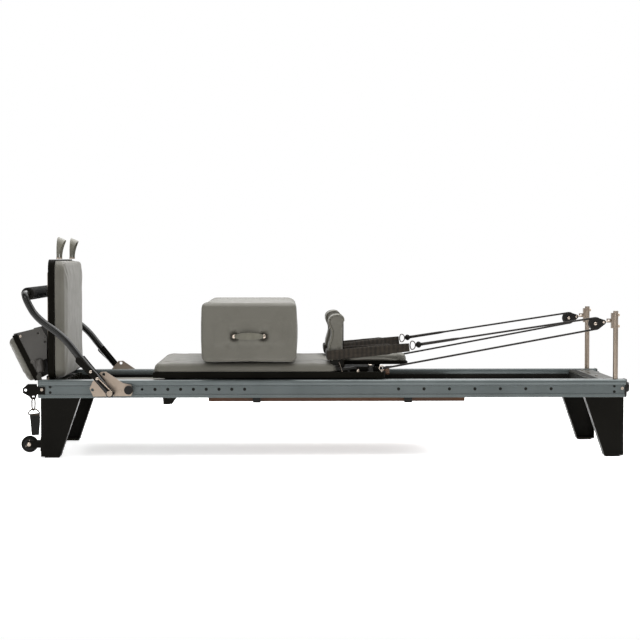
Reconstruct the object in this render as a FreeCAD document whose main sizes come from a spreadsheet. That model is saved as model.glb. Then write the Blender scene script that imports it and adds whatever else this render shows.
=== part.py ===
"""A pilates reformer: rails, sliding carriage, foot bar, jump board and rope rigging.

Every size and place is in millimetres. +X runs from the foot end to the head end, +Z is up and the
near side is -Y. The near side is built first and the far side is its mirror image, so most sideways
places are given as a distance outwards from the middle plane.
"""
import FreeCAD
import Part

import math
import os

import Sketcher

from FreeCAD import Placement, Rotation, Vector

X_AXIS = Vector(1, 0, 0)
Y_AXIS = Vector(0, 1, 0)
Z_AXIS = Vector(0, 0, 1)

# ---------------------------------------------------------------------------------------------
# Driving dimensions: alias, value, meaning
# ---------------------------------------------------------------------------------------------
SIZES = [
    ("rail_mid_x", 63.5, "rails' midpoint, measured from the middle of the whole machine"),
    ("fit_gap", 0.3, "running and seating clearance"),
    ("snug_gap", 0.1, "gap of a snug fit that doesn't move"),
    ("bore_gap", 0.05, "running gap of an axle in its bore"),
    ("run_past", 10, "how far a cutting tool runs past each face"),
    ("bolt_radius", 6, "head of a frame bolt"),
    ("bolt_height", 4, "head of a frame bolt"),
    ("wall", 3, "wall of the folded and extruded profiles"),
    # rails and tracks
    ("rail_length", 2300, "length of a rail"),
    ("half_width", 330, "middle plane to a rail's outer face"),
    ("rail_width", 45, "rail, outer face to inner face"),
    ("rail_bottom", 234, "underside of the rails"),
    ("rail_height", 70, "height of a rail"),
    ("bead_height", 24, "rounded bead along the rail's top"),
    ("flange_height", 11, "flange along the rail's bottom"),
    ("recess_depth", 6, "depth of the recessed web between bead and flange"),
    ("bead_radius", 5.5, "rounding of the bead"),
    ("web_hole_radius", 5, "radius of the holes in the web"),
    ("web_hole_rise", 33, "web holes, above the rail's underside"),
    ("slider_hole_in", 253, "first hole for the foot bar slider, from the rails' foot end"),
    ("slider_hole_pitch", 50, "pitch of the slider holes"),
    ("head_hole_x", 256, "first hole of the head end row"),
    ("head_hole_pitch", 100, "pitch of the head end row"),
    ("end_hole_in", 45, "pair of holes near each end of a rail, from that end"),
    ("end_hole_spread", 22, "spacing of the two holes of a pair"),
    ("cap_thickness", 3, "thickness of a rail's end cap"),
    ("track_inset", 130, "end of a rail to the end of a carriage track"),
    ("ledge_height", 24, "wheel ledge, above the rail's underside"),
    ("ledge_width", 23, "wheel ledge, measured from the rail's inner face"),
    ("lip_width", 14, "lip that carries the deck board"),
    ("lip_thickness", 4, "thickness of the ledge and of the lip"),
    # cross members
    ("head_beam_in", 120, "foot side face of the head cross member, from the rails' head end"),
    ("head_beam_length", 100, "head cross member, along the rails"),
    ("foot_beam_in", 4, "outer face of the foot cross member, from the rails' foot end"),
    ("foot_beam_length", 70, "foot cross member, along the rails"),
    ("beam_bottom", 240, "underside of both cross members"),
    ("foot_beam_top", 290, "top of the foot cross member"),
    ("head_beam_top", 300, "top of the head cross member"),
    ("brace_x", -667, "foot side edge of the cross brace"),
    ("brace_length", 53, "cross brace at its top, along the rails"),
    ("brace_taper", 18, "slant of the brace's head side"),
    ("brace_depth", 27, "depth of the cross brace"),
    # legs
    ("leg_inset", 8.4, "end of the rail to the leg's upright edge"),
    ("leg_top_length", 153, "leg at its top, along the rails"),
    ("leg_foot_length", 75, "leg at its foot, along the rails"),
    ("pad_height", 5, "rubber pad under a leg"),
    ("pad_inset", 14, "pad, from the leg's upright edge"),
    ("pad_length", 56, "rubber pad, along the rails"),
    ("pad_width", 36, "rubber pad, across the rails"),
    # boards and springs
    ("deck_in", 150, "foot side edge of the deck board, from the rails' foot end"),
    ("deck_length", 310, "deck board, along the rails"),
    ("board_thickness", 18, "deck board"),
    ("lower_board_x", -490, "foot side edge of the lower board"),
    ("lower_board_length", 1010, "lower board, along the rails"),
    ("lower_board_inset", 30, "edge of the lower board, in from the rails' outer face"),
    ("lower_board_thickness", 17, "lower board"),
    ("clip_width", 30, "clip under the lower board"),
    ("clip_thickness", 4, "clip under the lower board"),
    ("clip_one_x", -300, "first clip's middle"),
    ("clip_two_x", 295, "second clip's middle"),
    ("spring_bar_in", 92, "outer face of the spring bar, from the rails' foot end"),
    ("spring_bar_length", 20, "spring bar, along the rails"),
    ("spring_bar_height", 16, "height of the spring bar"),
    ("spring_pitch", 80, "spacing of the springs"),
    ("spring_radius", 9, "outer radius of a spring"),
    ("spring_height", 244, "height of the springs' axes"),
    ("peg_radius", 6, "upright peg on the spring bar"),
    ("peg_height", 48, "upright peg on the spring bar"),
    # risers, blocks and ropes
    ("post_in", 38, "axis of the riser posts, from the rails' head end"),
    ("post_radius", 10, "riser post"),
    ("post_top", 572, "top of the riser posts"),
    ("sheave_in", 120, "axis of the sheaves, from the rails' head end"),
    ("sheave_z", 522, "height of the sheaves' axis"),
    ("sheave_radius", 24, "rim of a sheave"),
    ("sheave_width", 12, "width of a sheave"),
    ("rope_wrap_radius", 22, "rope's centre line round the sheave"),
    ("axle_radius", 4, "axle of a sheave"),
    ("eye_in", 66, "pin of the pad eye, from the rails' head end"),
    ("eye_z", 534, "height of the pad eye's pin"),
    ("eye_foot_half", 30, "half the height of the pad eye's foot"),
    ("eye_foot_depth", 18, "front of the pad eye's foot, from the post's axis"),
    ("cheek_radius", 26, "round end of a block's cheek"),
    ("cheek_tip_radius", 8, "narrow end of a block's cheek"),
    ("cheek_thickness", 3, "cheek of a block"),
    ("rope_radius", 3.5, "rope"),
    ("rope_yaw", 1, "ropes lean inwards towards the carriage, in degrees"),
    ("ball_x", 336.5, "stopper ball at the rope's end"),
    ("ball_z", 439.5, "height of the stopper ball"),
    ("ball_radius", 11, "stopper ball"),
    ("rope_eye_x", 191, "eye bolt that holds the rope's other end"),
    ("rope_eye_z", 345, "height of the eye bolt's ring"),
    ("rope_eye_radius", 9, "eye bolt's ring"),
    ("rope_eye_wire", 2.5, "wire radius of the eye bolt's ring"),
    ("hoop_radius", 12, "ring between a hand strap and its rope"),
    ("hoop_wire", 2, "wire radius of that ring"),
    ("cleat_x", 61, "middle of a rope cleat"),
    ("cleat_length", 54, "rope cleat, along the rails"),
    ("cleat_post", 18, "foot of a cleat, along the rails"),
    ("cleat_height", 20, "height of a cleat"),
    ("bolt_x", 97.5, "bolt beside the cleat"),
    ("bollard_x", 147, "bollard beside the bolt"),
    ("bollard_radius", 11.5, "bollard"),
    ("bollard_height", 30, "height of a bollard"),
    ("knob_radius", 20, "clamp knob at the end of a rail"),
    ("knob_length", 11, "clamp knob, along its axis"),
    ("knob_z", 272, "height of the clamp knobs' axis"),
    # end brackets, transport wheels and the hanging strap
    ("bracket_thickness", 5, "plate at the foot end of a rail"),
    ("hang_out", 20, "hole that the hanging link passes through, beyond the rails' foot end"),
    ("hang_z", 238, "height of that hole"),
    ("hang_hole_radius", 5, "radius of that hole"),
    ("link_wire", 2, "wire radius of the link and of the D ring"),
    ("link_length", 48.6, "link, between the centres of its end runs"),
    ("link_half", 8, "half the width of the link"),
    ("ring_height", 22, "D ring, between its runs"),
    ("ring_half", 21.5, "half the length of the D ring"),
    ("ring_corner", 5, "bends of the D ring"),
    ("strap_top", 174, "top of the hanging strap"),
    ("strap_bottom", 89, "bottom of the hanging strap"),
    ("wheel_past", 39, "axle of the transport wheels, beyond the rails' foot end"),
    ("wheel_z", 52, "height of the transport wheels' axle"),
    ("wheel_radius", 32.5, "transport wheel"),
    ("wheel_width", 24, "transport wheel"),
    ("wheel_inset", 30, "transport wheel's middle, in from the rail's outer face"),
    ("wheel_axle_radius", 5, "axle of a transport wheel"),
    # foot platform
    ("hinge_out", 8, "hinge of the foot platform, beyond the rails' foot end"),
    ("hinge_z", 312, "height of that hinge"),
    ("hinge_pin_radius", 5, "pin of that hinge"),
    ("platform_half", 262, "half the width of the foot platform"),
    ("platform_lean", 26.5, "lean of the platform from upright, in degrees"),
    ("platform_out", 22, "lower corner of the platform board's outer face, beyond the rails' foot end"),
    ("platform_low_z", 297, "height of that corner"),
    ("platform_length", 198, "platform board, up its slope"),
    ("platform_thickness", 18, "platform board"),
    ("platform_pad", 30, "cushion on the platform board"),
    ("side_plate", 4, "side plate of the platform"),
    # foot bar
    ("bar_outset", 45, "arms of the foot bar, out from the rails' outer face"),
    ("bar_radius", 14, "tube of the foot bar"),
    ("bar_wall", 2, "wall of that tube"),
    ("bar_bend", 60, "bends of that tube"),
    ("pivot_in", 283, "pivot of the foot bar, from the rails' foot end"),
    ("pivot_z", 256, "height of the pivot"),
    ("pivot_radius", 8, "pivot bolt"),
    ("knee_in", 102, "first bend of an arm, from the rails' foot end"),
    ("knee_z", 478, "height of the first bend"),
    ("elbow_in", 10, "second bend of an arm, from the rails' foot end"),
    ("elbow_z", 545, "height of the second bend"),
    ("bar_past", 43, "cross run of the foot bar, beyond the rails' foot end"),
    ("bar_z", 640, "height of the cross run"),
    ("grip_radius", 25, "foam grip on the cross run"),
    ("grip_inset", 63, "end of the grip, in from the arms' middle"),
    ("slider_outset", 13, "inner face of the slider plate, out from the rails' outer face"),
    ("slider_plate", 4, "thickness of the slider plate"),
    ("plunger_radius", 17, "knob of the plunger"),
    ("plunger_stem", 4.5, "stem of the plunger"),
    ("plunger_length", 18, "knob of the plunger, along its axis"),
    ("latch_start", 48, "latch strip, from the pivot along the arm"),
    ("latch_length", 130, "latch strip, along the arm"),
    ("latch_low", 11, "latch strip, below the arm's axis"),
    ("latch_width", 25, "latch strip, across the arm"),
    ("latch_rod_rise", 4, "rod of a latch, above the arm's axis"),
    # jump board
    ("jump_in", 35, "foot side face of the jump board, from the rails' foot end"),
    ("jump_half", 300, "half the width of the jump board"),
    ("jump_bottom", 302, "lower edge of the jump board"),
    ("jump_height", 472, "height of the jump board"),
    ("jump_board", 22.5, "board of the jump board"),
    ("jump_pad", 45, "cushion of the jump board"),
    ("jump_corner", 40, "rounding of its corners"),
    ("jump_post_out", 200, "posts of the jump board, from the middle plane"),
    ("jump_post_radius", 8, "post of the jump board"),
    ("jump_post_height", 420, "post above the board's lower edge"),
    ("socket_height", 8, "socket on the foot cross member"),
    ("loop_out", 200, "loop handles, from the middle plane"),
    ("loop_width", 27, "width of a loop handle's strap"),
    ("loop_height", 89, "height of a loop handle"),
    ("loop_span", 90, "loop handle, across the board"),
    ("loop_thickness", 4, "strap of a loop handle"),
    # carriage
    ("base_x", -706, "foot side edge of the carriage base"),
    ("base_length", 910.5, "carriage base, along the rails"),
    ("carriage_inset", 20, "side of the carriage, in from the rails' outer face"),
    ("base_bottom", 310, "underside of the carriage base"),
    ("base_thickness", 22, "carriage base"),
    ("base_corner", 30, "rounded corners at the head side"),
    ("cushion_x", -710, "foot side edge of the carriage cushion"),
    ("cushion_length", 730, "carriage cushion, along the rails"),
    ("cushion_thickness", 40.7, "carriage cushion"),
    ("cushion_corner", 15, "rounded corners of the cushion"),
    ("roller_radius", 20, "carriage wheel"),
    ("roller_width", 20, "carriage wheel"),
    ("roller_foot_x", -640, "axle of the foot side carriage wheels"),
    ("roller_head_x", 140, "axle of the head side carriage wheels"),
    ("anchor_x", -668, "foot side face of the spring anchor"),
    ("anchor_thickness", 8, "spring anchor"),
    ("anchor_bottom", 237, "lower edge of the spring anchor"),
    ("shoulder_x", -17, "front of the shoulder rests"),
    ("shoulder_depth", 52, "shoulder rest, along the rails"),
    ("shoulder_inset", 10, "outer side of a shoulder rest, in from the carriage's side"),
    ("shoulder_width", 150, "shoulder rest, across the rails"),
    ("shoulder_bottom", 375, "lower edge of the shoulder rests"),
    ("shoulder_height", 180, "height of the shoulder rests"),
    ("plate_thickness", 7, "plate behind a shoulder rest"),
    ("strap_width", 34, "padded hand strap"),
    ("strap_thickness", 6, "padded hand strap"),
    ("strap_lift", 6, "hand strap, above the shoulder rests' lower edge"),
    ("strap_rise", 5.4, "slope of the hand straps, in degrees"),
    ("head_x", 40, "hinge side edge of the headrest"),
    ("head_length", 265, "headrest, along the rails"),
    ("head_half", 135, "half the width of the headrest"),
    ("head_bottom", 352, "underside of the headrest board"),
    ("head_board", 12, "headrest board"),
    ("head_pad", 35, "headrest cushion"),
    ("head_hinge_x", 47, "hinge of the headrest"),
    ("head_hinge_z", 343, "height of that hinge"),
    ("head_pin_radius", 4, "pin of that hinge"),
    ("head_knuckle", 7, "knuckle round that pin"),
    ("head_knuckle_half", 78, "half the width of the knuckle"),
    ("head_block", 20, "hinge block beside the knuckle, across the rails"),
    ("star_out", 30, "star knob, from the middle plane"),
    ("star_radius", 18, "star knob"),
    ("star_stem", 18, "stem of the star knob, along its axis"),
    ("star_thickness", 15, "star knob, along its axis"),
    # sitting box
    ("box_x", -518, "foot side face of the sitting box"),
    ("box_length", 378, "sitting box, along the rails"),
    ("box_half", 360, "half the sitting box across the rails"),
    ("box_height", 236, "sitting box"),
    ("box_corner", 18, "rounding of the sitting box"),
    ("box_wall", 20, "padded wall of the sitting box"),
    ("handle_z", 475, "height of the box's strap handles"),
    ("stud_spread", 115, "studs of a strap handle"),
    ("stud_radius", 8, "stud of a strap handle"),
    ("handle_width", 27, "strap of a handle"),
    ("handle_gap", 12, "finger gap behind a handle"),
]


class Dim:
    """A number together with the spreadsheet expression that gives it."""

    def __init__(self, value, text):
        self.value = float(value)
        self.text = text

    @staticmethod
    def of(other):
        return other if isinstance(other, Dim) else Dim(other, repr(float(other)))

    def __add__(self, other):
        other = Dim.of(other)
        return Dim(self.value + other.value, f"({self.text} + {other.text})")

    __radd__ = __add__

    def __neg__(self):
        return Dim(-self.value, f"(0 - {self.text})")

    def __sub__(self, other):
        return self + (-Dim.of(other))

    def __rsub__(self, other):
        return Dim.of(other) + (-self)

    def __mul__(self, other):
        other = Dim.of(other)
        return Dim(self.value * other.value, f"({self.text} * {other.text})")

    __rmul__ = __mul__

    def __truediv__(self, other):
        other = Dim.of(other)
        return Dim(self.value / other.value, f"({self.text} / {other.text})")

    def __float__(self):
        return self.value


class Sizes:
    """The driving dimensions, kept in a spreadsheet and read by name."""

    def __init__(self, document, table):
        self.sheet = document.addObject("Spreadsheet::Sheet", "Sizes")
        for row, (alias, value, meaning) in enumerate(table, start=1):
            self.sheet.set(f"A{row}", meaning)
            self.sheet.set(f"B{row}", str(value))
            self.sheet.setAlias(f"B{row}", alias)
        document.recompute()

    def __getattr__(self, alias):
        return Dim(self.sheet.get(alias), f"Sizes.{alias}")


doc = FreeCAD.newDocument("PilatesReformer")
s = Sizes(doc, SIZES)
nodes = []

# ---------------------------------------------------------------------------------------------
# Small tools
# ---------------------------------------------------------------------------------------------


def bind(item, prop, dim):
    """Bind one property of an object to a driving dimension, or set it to a plain number."""
    if isinstance(dim, Dim):
        item.setExpression(prop, dim.text)
    else:
        item.setExpression(prop, repr(float(dim)))


def place(item, at, rotation=None):
    """Put an object at three dimensions, turned by a rotation."""
    item.Placement = Placement(Vector(*(float(c) for c in at)), rotation or Rotation())
    for axis, dim in zip("xyz", at):
        bind(item, f"Placement.Base.{axis}", dim)


def solid_name(stem):
    return f"{stem}_{len(doc.Objects)}"


def box(low, extent):
    """A block given by its low corner and its three sizes."""
    item = doc.addObject("Part::Box", solid_name("Block"))
    for prop, dim in zip(("Length", "Width", "Height"), extent):
        bind(item, prop, dim)
    place(item, low)
    return item


def slab(x, y, z):
    """A block given by its (low, high) pair along each axis."""
    return box((x[0], y[0], z[0]), (x[1] - x[0], y[1] - y[0], z[1] - z[0]))


TURN = {"x": Rotation(Y_AXIS, 90), "y": Rotation(X_AXIS, -90), "z": Rotation()}


def cylinder(axis, radius, low, length):
    """A cylinder that starts at `low` and runs in the + direction of its axis."""
    item = doc.addObject("Part::Cylinder", solid_name("Round"))
    bind(item, "Radius", radius)
    bind(item, "Height", length)
    place(item, low, TURN[axis])
    return item


def ring(axis, major, minor, centre):
    """A round ring whose hole faces along the axis."""
    item = doc.addObject("Part::Torus", solid_name("Ring"))
    bind(item, "Radius1", major)
    bind(item, "Radius2", minor)
    place(item, centre, TURN[axis])
    return item


def ball(radius, centre):
    item = doc.addObject("Part::Sphere", solid_name("Ball"))
    bind(item, "Radius", radius)
    place(item, centre)
    return item


def fuse(items):
    """One solid from several."""
    item = doc.addObject("Part::MultiFuse", solid_name("Fusion"))
    item.Shapes = items
    return item


def cut(base, tools):
    """A solid less its tools."""
    item = doc.addObject("Part::Cut", solid_name("Difference"))
    item.Base = base
    item.Tool = tools[0] if len(tools) == 1 else fuse(tools)
    return item


def mirrored(base):
    """The far side's copy of a near side solid."""
    item = doc.addObject("Part::Mirroring", solid_name("FarSide"))
    item.Source = base
    item.Base = Vector(0, 0, 0)
    item.Normal = Y_AXIS
    return item


def mirrored_head(base):
    """The head end's copy of a foot end solid."""
    item = doc.addObject("Part::Mirroring", solid_name("HeadEnd"))
    item.Source = base
    item.Base = Vector(0, 0, 0)
    item.Normal = X_AXIS
    return item


def rounded(base, radius, wanted):
    """Round the edges of a solid that `wanted` picks by their middle point and direction."""
    doc.recompute()
    item = doc.addObject("Part::Fillet", solid_name("Rounded"))
    item.Base = base
    picked = []
    for number, edge in enumerate(base.Shape.Edges, start=1):
        start, end = edge.Vertexes[0].Point, edge.Vertexes[-1].Point
        direction = end - start
        if direction.Length > 0.001:
            direction.normalize()
        if wanted((start + end) * 0.5, direction):
            picked.append((number, float(radius), float(radius)))
    item.Edges = picked
    return item


def along(axis):
    """Pick the edges that run along one axis."""
    return lambda middle, direction: abs(direction.dot(axis)) > 0.999


def every_edge(middle, direction):
    return True


PLANES = {"XY": "XY_Plane", "XZ": "XZ_Plane", "YZ": "YZ_Plane"}


def new_sketch(body, plane, offset):
    """A sketch on one of the body's own planes, moved along that plane's normal."""
    role = PLANES[plane]
    support = next(f for f in body.Origin.OriginFeatures if f.Role == role)
    sketch = body.newObject("Sketcher::SketchObject", solid_name("Outline"))
    sketch.AttachmentSupport = [(support, "")]
    sketch.MapMode = "FlatFace"
    sketch.AttachmentOffset = Placement(Vector(0, 0, float(offset)), Rotation())
    bind(sketch, "AttachmentOffset.Base.z", offset)
    return sketch


def pin_down(sketch, geometry, point, horizontal, vertical):
    """Fix one sketch point by its two distances from the origin."""
    sketch.addConstraint(Sketcher.Constraint("DistanceX", -1, 1, geometry, point, float(horizontal)))
    bind(sketch, f"Constraints[{sketch.ConstraintCount - 1}]", horizontal)
    sketch.addConstraint(Sketcher.Constraint("DistanceY", -1, 1, geometry, point, float(vertical)))
    bind(sketch, f"Constraints[{sketch.ConstraintCount - 1}]", vertical)


def draw_polygon(sketch, points):
    """A closed outline with every corner fixed by driving dimensions."""
    corners = [Vector(float(a), float(b), 0) for a, b in points]
    first = sketch.GeometryCount
    count = len(corners)
    for i, corner in enumerate(corners):
        sketch.addGeometry(Part.LineSegment(corner, corners[(i + 1) % count]), False)
    for i in range(count):
        following = first + (i + 1) % count
        sketch.addConstraint(Sketcher.Constraint("Coincident", first + i, 2, following, 1))
    for i, (a, b) in enumerate(points):
        pin_down(sketch, first + i, 1, a, b)


def draw_circle(sketch, centre, radius):
    """A circle with its centre and radius fixed by driving dimensions."""
    middle = Vector(float(centre[0]), float(centre[1]), 0)
    number = sketch.addGeometry(Part.Circle(middle, Z_AXIS, float(radius)), False)
    sketch.addConstraint(Sketcher.Constraint("Radius", number, float(radius)))
    bind(sketch, f"Constraints[{sketch.ConstraintCount - 1}]", radius)
    pin_down(sketch, number, 3, *centre)


def plate(plane, offset, thickness, outline, holes=(), inner=None, centred=False):
    """A body padded from an outline on a plane, from `offset` along the plane's normal.

    The XZ plane's normal points to -Y, so there the offset and the pad run outwards on the near side.
    """
    body = doc.addObject("PartDesign::Body", solid_name("Body"))
    sketch = new_sketch(body, plane, offset)
    draw_polygon(sketch, outline)
    if inner:
        draw_polygon(sketch, inner)
    for centre, radius in holes:
        draw_circle(sketch, centre, radius)
    pad = body.newObject("PartDesign::Pad", solid_name("Pad"))
    pad.Profile = sketch
    bind(pad, "Length", thickness)
    pad.Midplane = centred
    body.Tip = pad
    return body


def pocket(body, plane, offset, depth, draw):
    """Cut into a body against the plane's normal, with the volume compared before and after."""
    doc.recompute()
    before = body.Shape.Volume
    sketch = new_sketch(body, plane, offset)
    draw(sketch)
    feature = body.newObject("PartDesign::Pocket", solid_name("Pocket"))
    feature.Profile = sketch
    bind(feature, "Length", depth)
    body.Tip = feature
    doc.recompute()
    assert body.Shape.Volume < before - 1, f"{feature.Name} cuts nothing"
    return feature


def row(body, feature, pitch, count):
    """Repeat a feature along X."""
    pattern = body.newObject("PartDesign::LinearPattern", solid_name("Row"))
    pattern.Originals = [feature]
    axis = next(f for f in body.Origin.OriginFeatures if f.Role == "X_Axis")
    pattern.Direction = (axis, [""])
    bind(pattern, "Length", pitch * (count - 1))
    pattern.Occurrences = count
    body.Tip = pattern
    doc.recompute()


def round_bend_path(points, radius):
    """Straight runs joined by tangent arcs of one radius, as a wire."""
    edges, start = [], points[0]
    for before, corner, after in zip(points, points[1:], points[2:]):
        back, ahead = (before - corner).normalize(), (after - corner).normalize()
        half = back.getAngle(ahead) / 2
        reach = radius / math.tan(half)
        entry, leave = corner + back * reach, corner + ahead * reach
        centre = corner + (back + ahead).normalize() * (radius / math.sin(half))
        middle = centre + (corner - centre).normalize() * radius
        edges += [Part.LineSegment(start, entry).toShape(), Part.Arc(entry, middle, leave).toShape()]
        start = leave
    edges.append(Part.LineSegment(start, points[-1]).toShape())
    return Part.Wire(edges)


def tube_along(wire, radius):
    """A round rod that follows a wire."""
    start = wire.Edges[0].Vertexes[0].Point
    heading = wire.Edges[0].tangentAt(wire.Edges[0].FirstParameter)
    section = Part.Wire([Part.Circle(start, heading, radius).toShape()])
    return wire.makePipeShell([section], True, True)


def shaped(shape):
    """An object that holds a shape made with Part's own functions."""
    item = doc.addObject("Part::Feature", solid_name("Shaped"))
    item.Shape = shape
    return item


def node(label, items):
    """A finished sub-part: one solid, or a group of separate solids, placed on the machine."""
    item = doc.addObject("Part::Compound", solid_name("SubPart"))
    item.Links = items
    item.Label = label
    place(item, (s.rail_mid_x, 0, 0))
    nodes.append(item)


def both(near):
    """A near side solid and its far side copy."""
    return [near, mirrored(near)]


# ---------------------------------------------------------------------------------------------
# Places that follow from the rails' length and from the machine's width
# ---------------------------------------------------------------------------------------------

foot_end = -s.rail_length / 2
head_end = s.rail_length / 2
foot_beam_x = foot_end + s.foot_beam_in
deck_x = foot_end + s.deck_in
spring_bar_x = foot_end + s.spring_bar_in
hang_x = foot_end - s.hang_out
wheel_x = foot_end - s.wheel_past
hinge_x = foot_end - s.hinge_out
platform_low_x = foot_end - s.platform_out
jump_x = foot_end + s.jump_in
slider_hole_x = foot_end + s.slider_hole_in
pivot_x = foot_end + s.pivot_in
knee_x = foot_end + s.knee_in
elbow_x = foot_end + s.elbow_in
bar_x = foot_end - s.bar_past
head_beam_x = head_end - s.head_beam_in
post_x = head_end - s.post_in
sheave_x = head_end - s.sheave_in
eye_x = head_end - s.eye_in
end_hole_x = head_end - s.end_hole_in
track_length = s.rail_length - 2 * s.track_inset
wheel_out = s.half_width - s.wheel_inset
bar_out = s.half_width + s.bar_outset
slider_plate_out = s.half_width + s.slider_outset
lower_board_half = s.half_width - s.lower_board_inset
grip_half = bar_out - s.grip_inset
carriage_half = s.half_width - s.carriage_inset
shoulder_in = carriage_half - s.shoulder_inset - s.shoulder_width

# ---------------------------------------------------------------------------------------------
# Frame: rails, tracks, cross members, legs and boards
# ---------------------------------------------------------------------------------------------

rail_top = s.rail_bottom + s.rail_height
rail_inner = s.half_width - s.rail_width
web_face = s.half_width - s.recess_depth
rail_middle = s.half_width - s.rail_width / 2
ledge_top = s.rail_bottom + s.ledge_height
ledge_inner = rail_inner - s.ledge_width
lip_top = ledge_top - s.lip_thickness
carriage_top = s.base_bottom + s.base_thickness


def make_rails():
    """Hollow tubes; on the outer face a rounded bead and a flange leave a recessed web with holes."""
    web_low = s.rail_bottom + s.flange_height
    web_high = rail_top - s.bead_height
    outline = [(-web_face, s.rail_bottom), (-web_face, rail_top), (-rail_inner, rail_top),
               (-rail_inner, s.rail_bottom)]
    left, right = -web_face + s.wall, -rail_inner - s.wall
    low, high = s.rail_bottom + s.wall, rail_top - s.wall
    inner = [(left, low), (left, high), (right, high), (right, low)]
    tube = plate("YZ", 0, s.rail_length, outline, inner=inner, centred=True)
    hole_z = s.rail_bottom + s.web_hole_rise

    def web_holes(places, radius):
        def draw(sketch):
            for x, z in places:
                draw_circle(sketch, (x, z), radius)
        return pocket(tube, "XZ", s.half_width, s.recess_depth + s.wall + 1, draw)

    slider_holes = web_holes([(slider_hole_x, hole_z)], s.web_hole_radius)
    row(tube, slider_holes, s.slider_hole_pitch, 12)
    head_holes = web_holes([(s.head_hole_x, hole_z)], s.web_hole_radius)
    row(tube, head_holes, s.head_hole_pitch, 7)
    pair = [(side * end_hole_x, hole_z - 1 + up * s.end_hole_spread / 2)
            for side in (-1, 1) for up in (-1, 1)]
    web_holes(pair, s.web_hole_radius / 2)

    def post_hole(sketch):
        draw_circle(sketch, (post_x, -rail_middle), s.post_radius + s.fit_gap)
    pocket(tube, "XY", rail_top, s.wall + 1, post_hole)

    def strip(bottom, top):
        return plate("YZ", 0, s.rail_length, [(-s.half_width, bottom), (-s.half_width, top),
                                              (-web_face, top), (-web_face, bottom)], centred=True)

    def outer_edge(middle, direction):
        return abs(direction.x) > 0.999 and abs(middle.y + s.half_width.value) < 0.1
    bead = rounded(strip(web_high, rail_top), s.bead_radius, outer_edge)
    flange = strip(s.rail_bottom, web_low)
    node("near_rail", [tube, bead, flange])
    node("far_rail", [mirrored(piece) for piece in (tube, bead, flange)])


def make_tracks():
    """Stepped strips: the wheels run on the ledge and the deck board lies on the lip."""
    step = 4
    under_lip = lip_top - s.lip_thickness
    outline = [(-rail_inner, s.rail_bottom + 2), (-rail_inner, ledge_top), (-ledge_inner, ledge_top),
               (-ledge_inner, lip_top), (-ledge_inner + s.lip_width, lip_top),
               (-ledge_inner + s.lip_width, under_lip), (-ledge_inner - step, under_lip),
               (-ledge_inner - step, lip_top), (-rail_inner + s.wall, lip_top),
               (-rail_inner + s.wall, s.rail_bottom + 2)]
    node("carriage_tracks", both(plate("YZ", 0, track_length, outline, centred=True)))


def make_head_crossmember():
    """A folded channel, open below, between the rails at the head end."""
    x = (head_beam_x, head_beam_x + s.head_beam_length)
    outer = slab(x, (-rail_inner, rail_inner), (s.beam_bottom, s.head_beam_top))
    inner = slab((x[0] + s.wall, x[1] - s.wall), (-rail_inner - 1, rail_inner + 1),
                 (s.beam_bottom - 1, s.head_beam_top - s.wall))
    node("head_crossmember", [cut(outer, [inner])])


def make_foot_crossmember():
    """A folded channel with sockets for the jump board and hinge ears for the platform."""
    x = (foot_beam_x, foot_beam_x + s.foot_beam_length)
    outer = slab(x, (-rail_inner, rail_inner), (s.beam_bottom, s.foot_beam_top))
    inner = slab((x[0] + s.wall, x[1] - s.wall), (-rail_inner - 1, rail_inner + 1),
                 (s.beam_bottom - 1, s.foot_beam_top - s.wall))
    beam = cut(outer, [inner])
    added, removed = [beam], []
    for side in (-1, 1):
        at = (jump_post_x, side * s.jump_post_out)
        socket_radius = s.jump_post_radius + 2 * s.wall
        added.append(cylinder("z", socket_radius, (*at, s.foot_beam_top - 1), s.socket_height + 1))
        removed.append(cylinder("z", s.jump_post_radius + s.fit_gap,
                                (*at, s.beam_bottom), s.foot_beam_top - s.beam_bottom + 20))
    ear_in = s.platform_half + s.side_plate + 4
    ear = plate("XZ", ear_in, s.side_plate, [
        (hinge_x - 9, s.hinge_z + 2), (hinge_x - 5, s.hinge_z + 9), (hinge_x + 6, s.hinge_z + 9),
        (foot_beam_x + 8, s.foot_beam_top), (foot_beam_x + 8, s.beam_bottom + 20),
        (foot_beam_x - 1, s.beam_bottom + 20)])
    pin = cylinder("y", s.hinge_pin_radius, (hinge_x, -ear_in - s.side_plate, s.hinge_z),
                   ear_in + s.side_plate - s.platform_half)
    added += both(ear) + both(pin)
    node("foot_crossmember", [cut(fuse(added), removed)])


def make_cross_brace():
    """A channel with one slanted side, bolted under both rails."""
    low = s.rail_bottom - s.brace_depth
    x = s.brace_x
    outline = [(x, s.rail_bottom), (x + s.brace_length, s.rail_bottom),
               (x + s.brace_length - s.brace_taper, low), (x + 2, low)]
    bar = plate("XZ", -s.half_width + 10, s.half_width * 2 - 20, outline)
    hollow = slab((x + s.wall * 2, x + s.brace_length - s.brace_taper - s.wall),
                  (-s.half_width, s.half_width), (low - 1, s.rail_bottom - s.wall))
    node("cross_brace", [cut(bar, [hollow])])


def make_end_caps():
    """Plastic caps that close the rails behind the web, one at each end."""
    caps = []
    for x in (-s.rail_length / 2 - s.cap_thickness, s.rail_length / 2):
        cap = slab((x, x + s.cap_thickness), (-web_face, -rail_inner), (s.rail_bottom, rail_top))
        caps += both(cap)
    node("rail_end_caps", caps)


leg_edge = -s.rail_length / 2 + s.leg_inset


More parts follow.
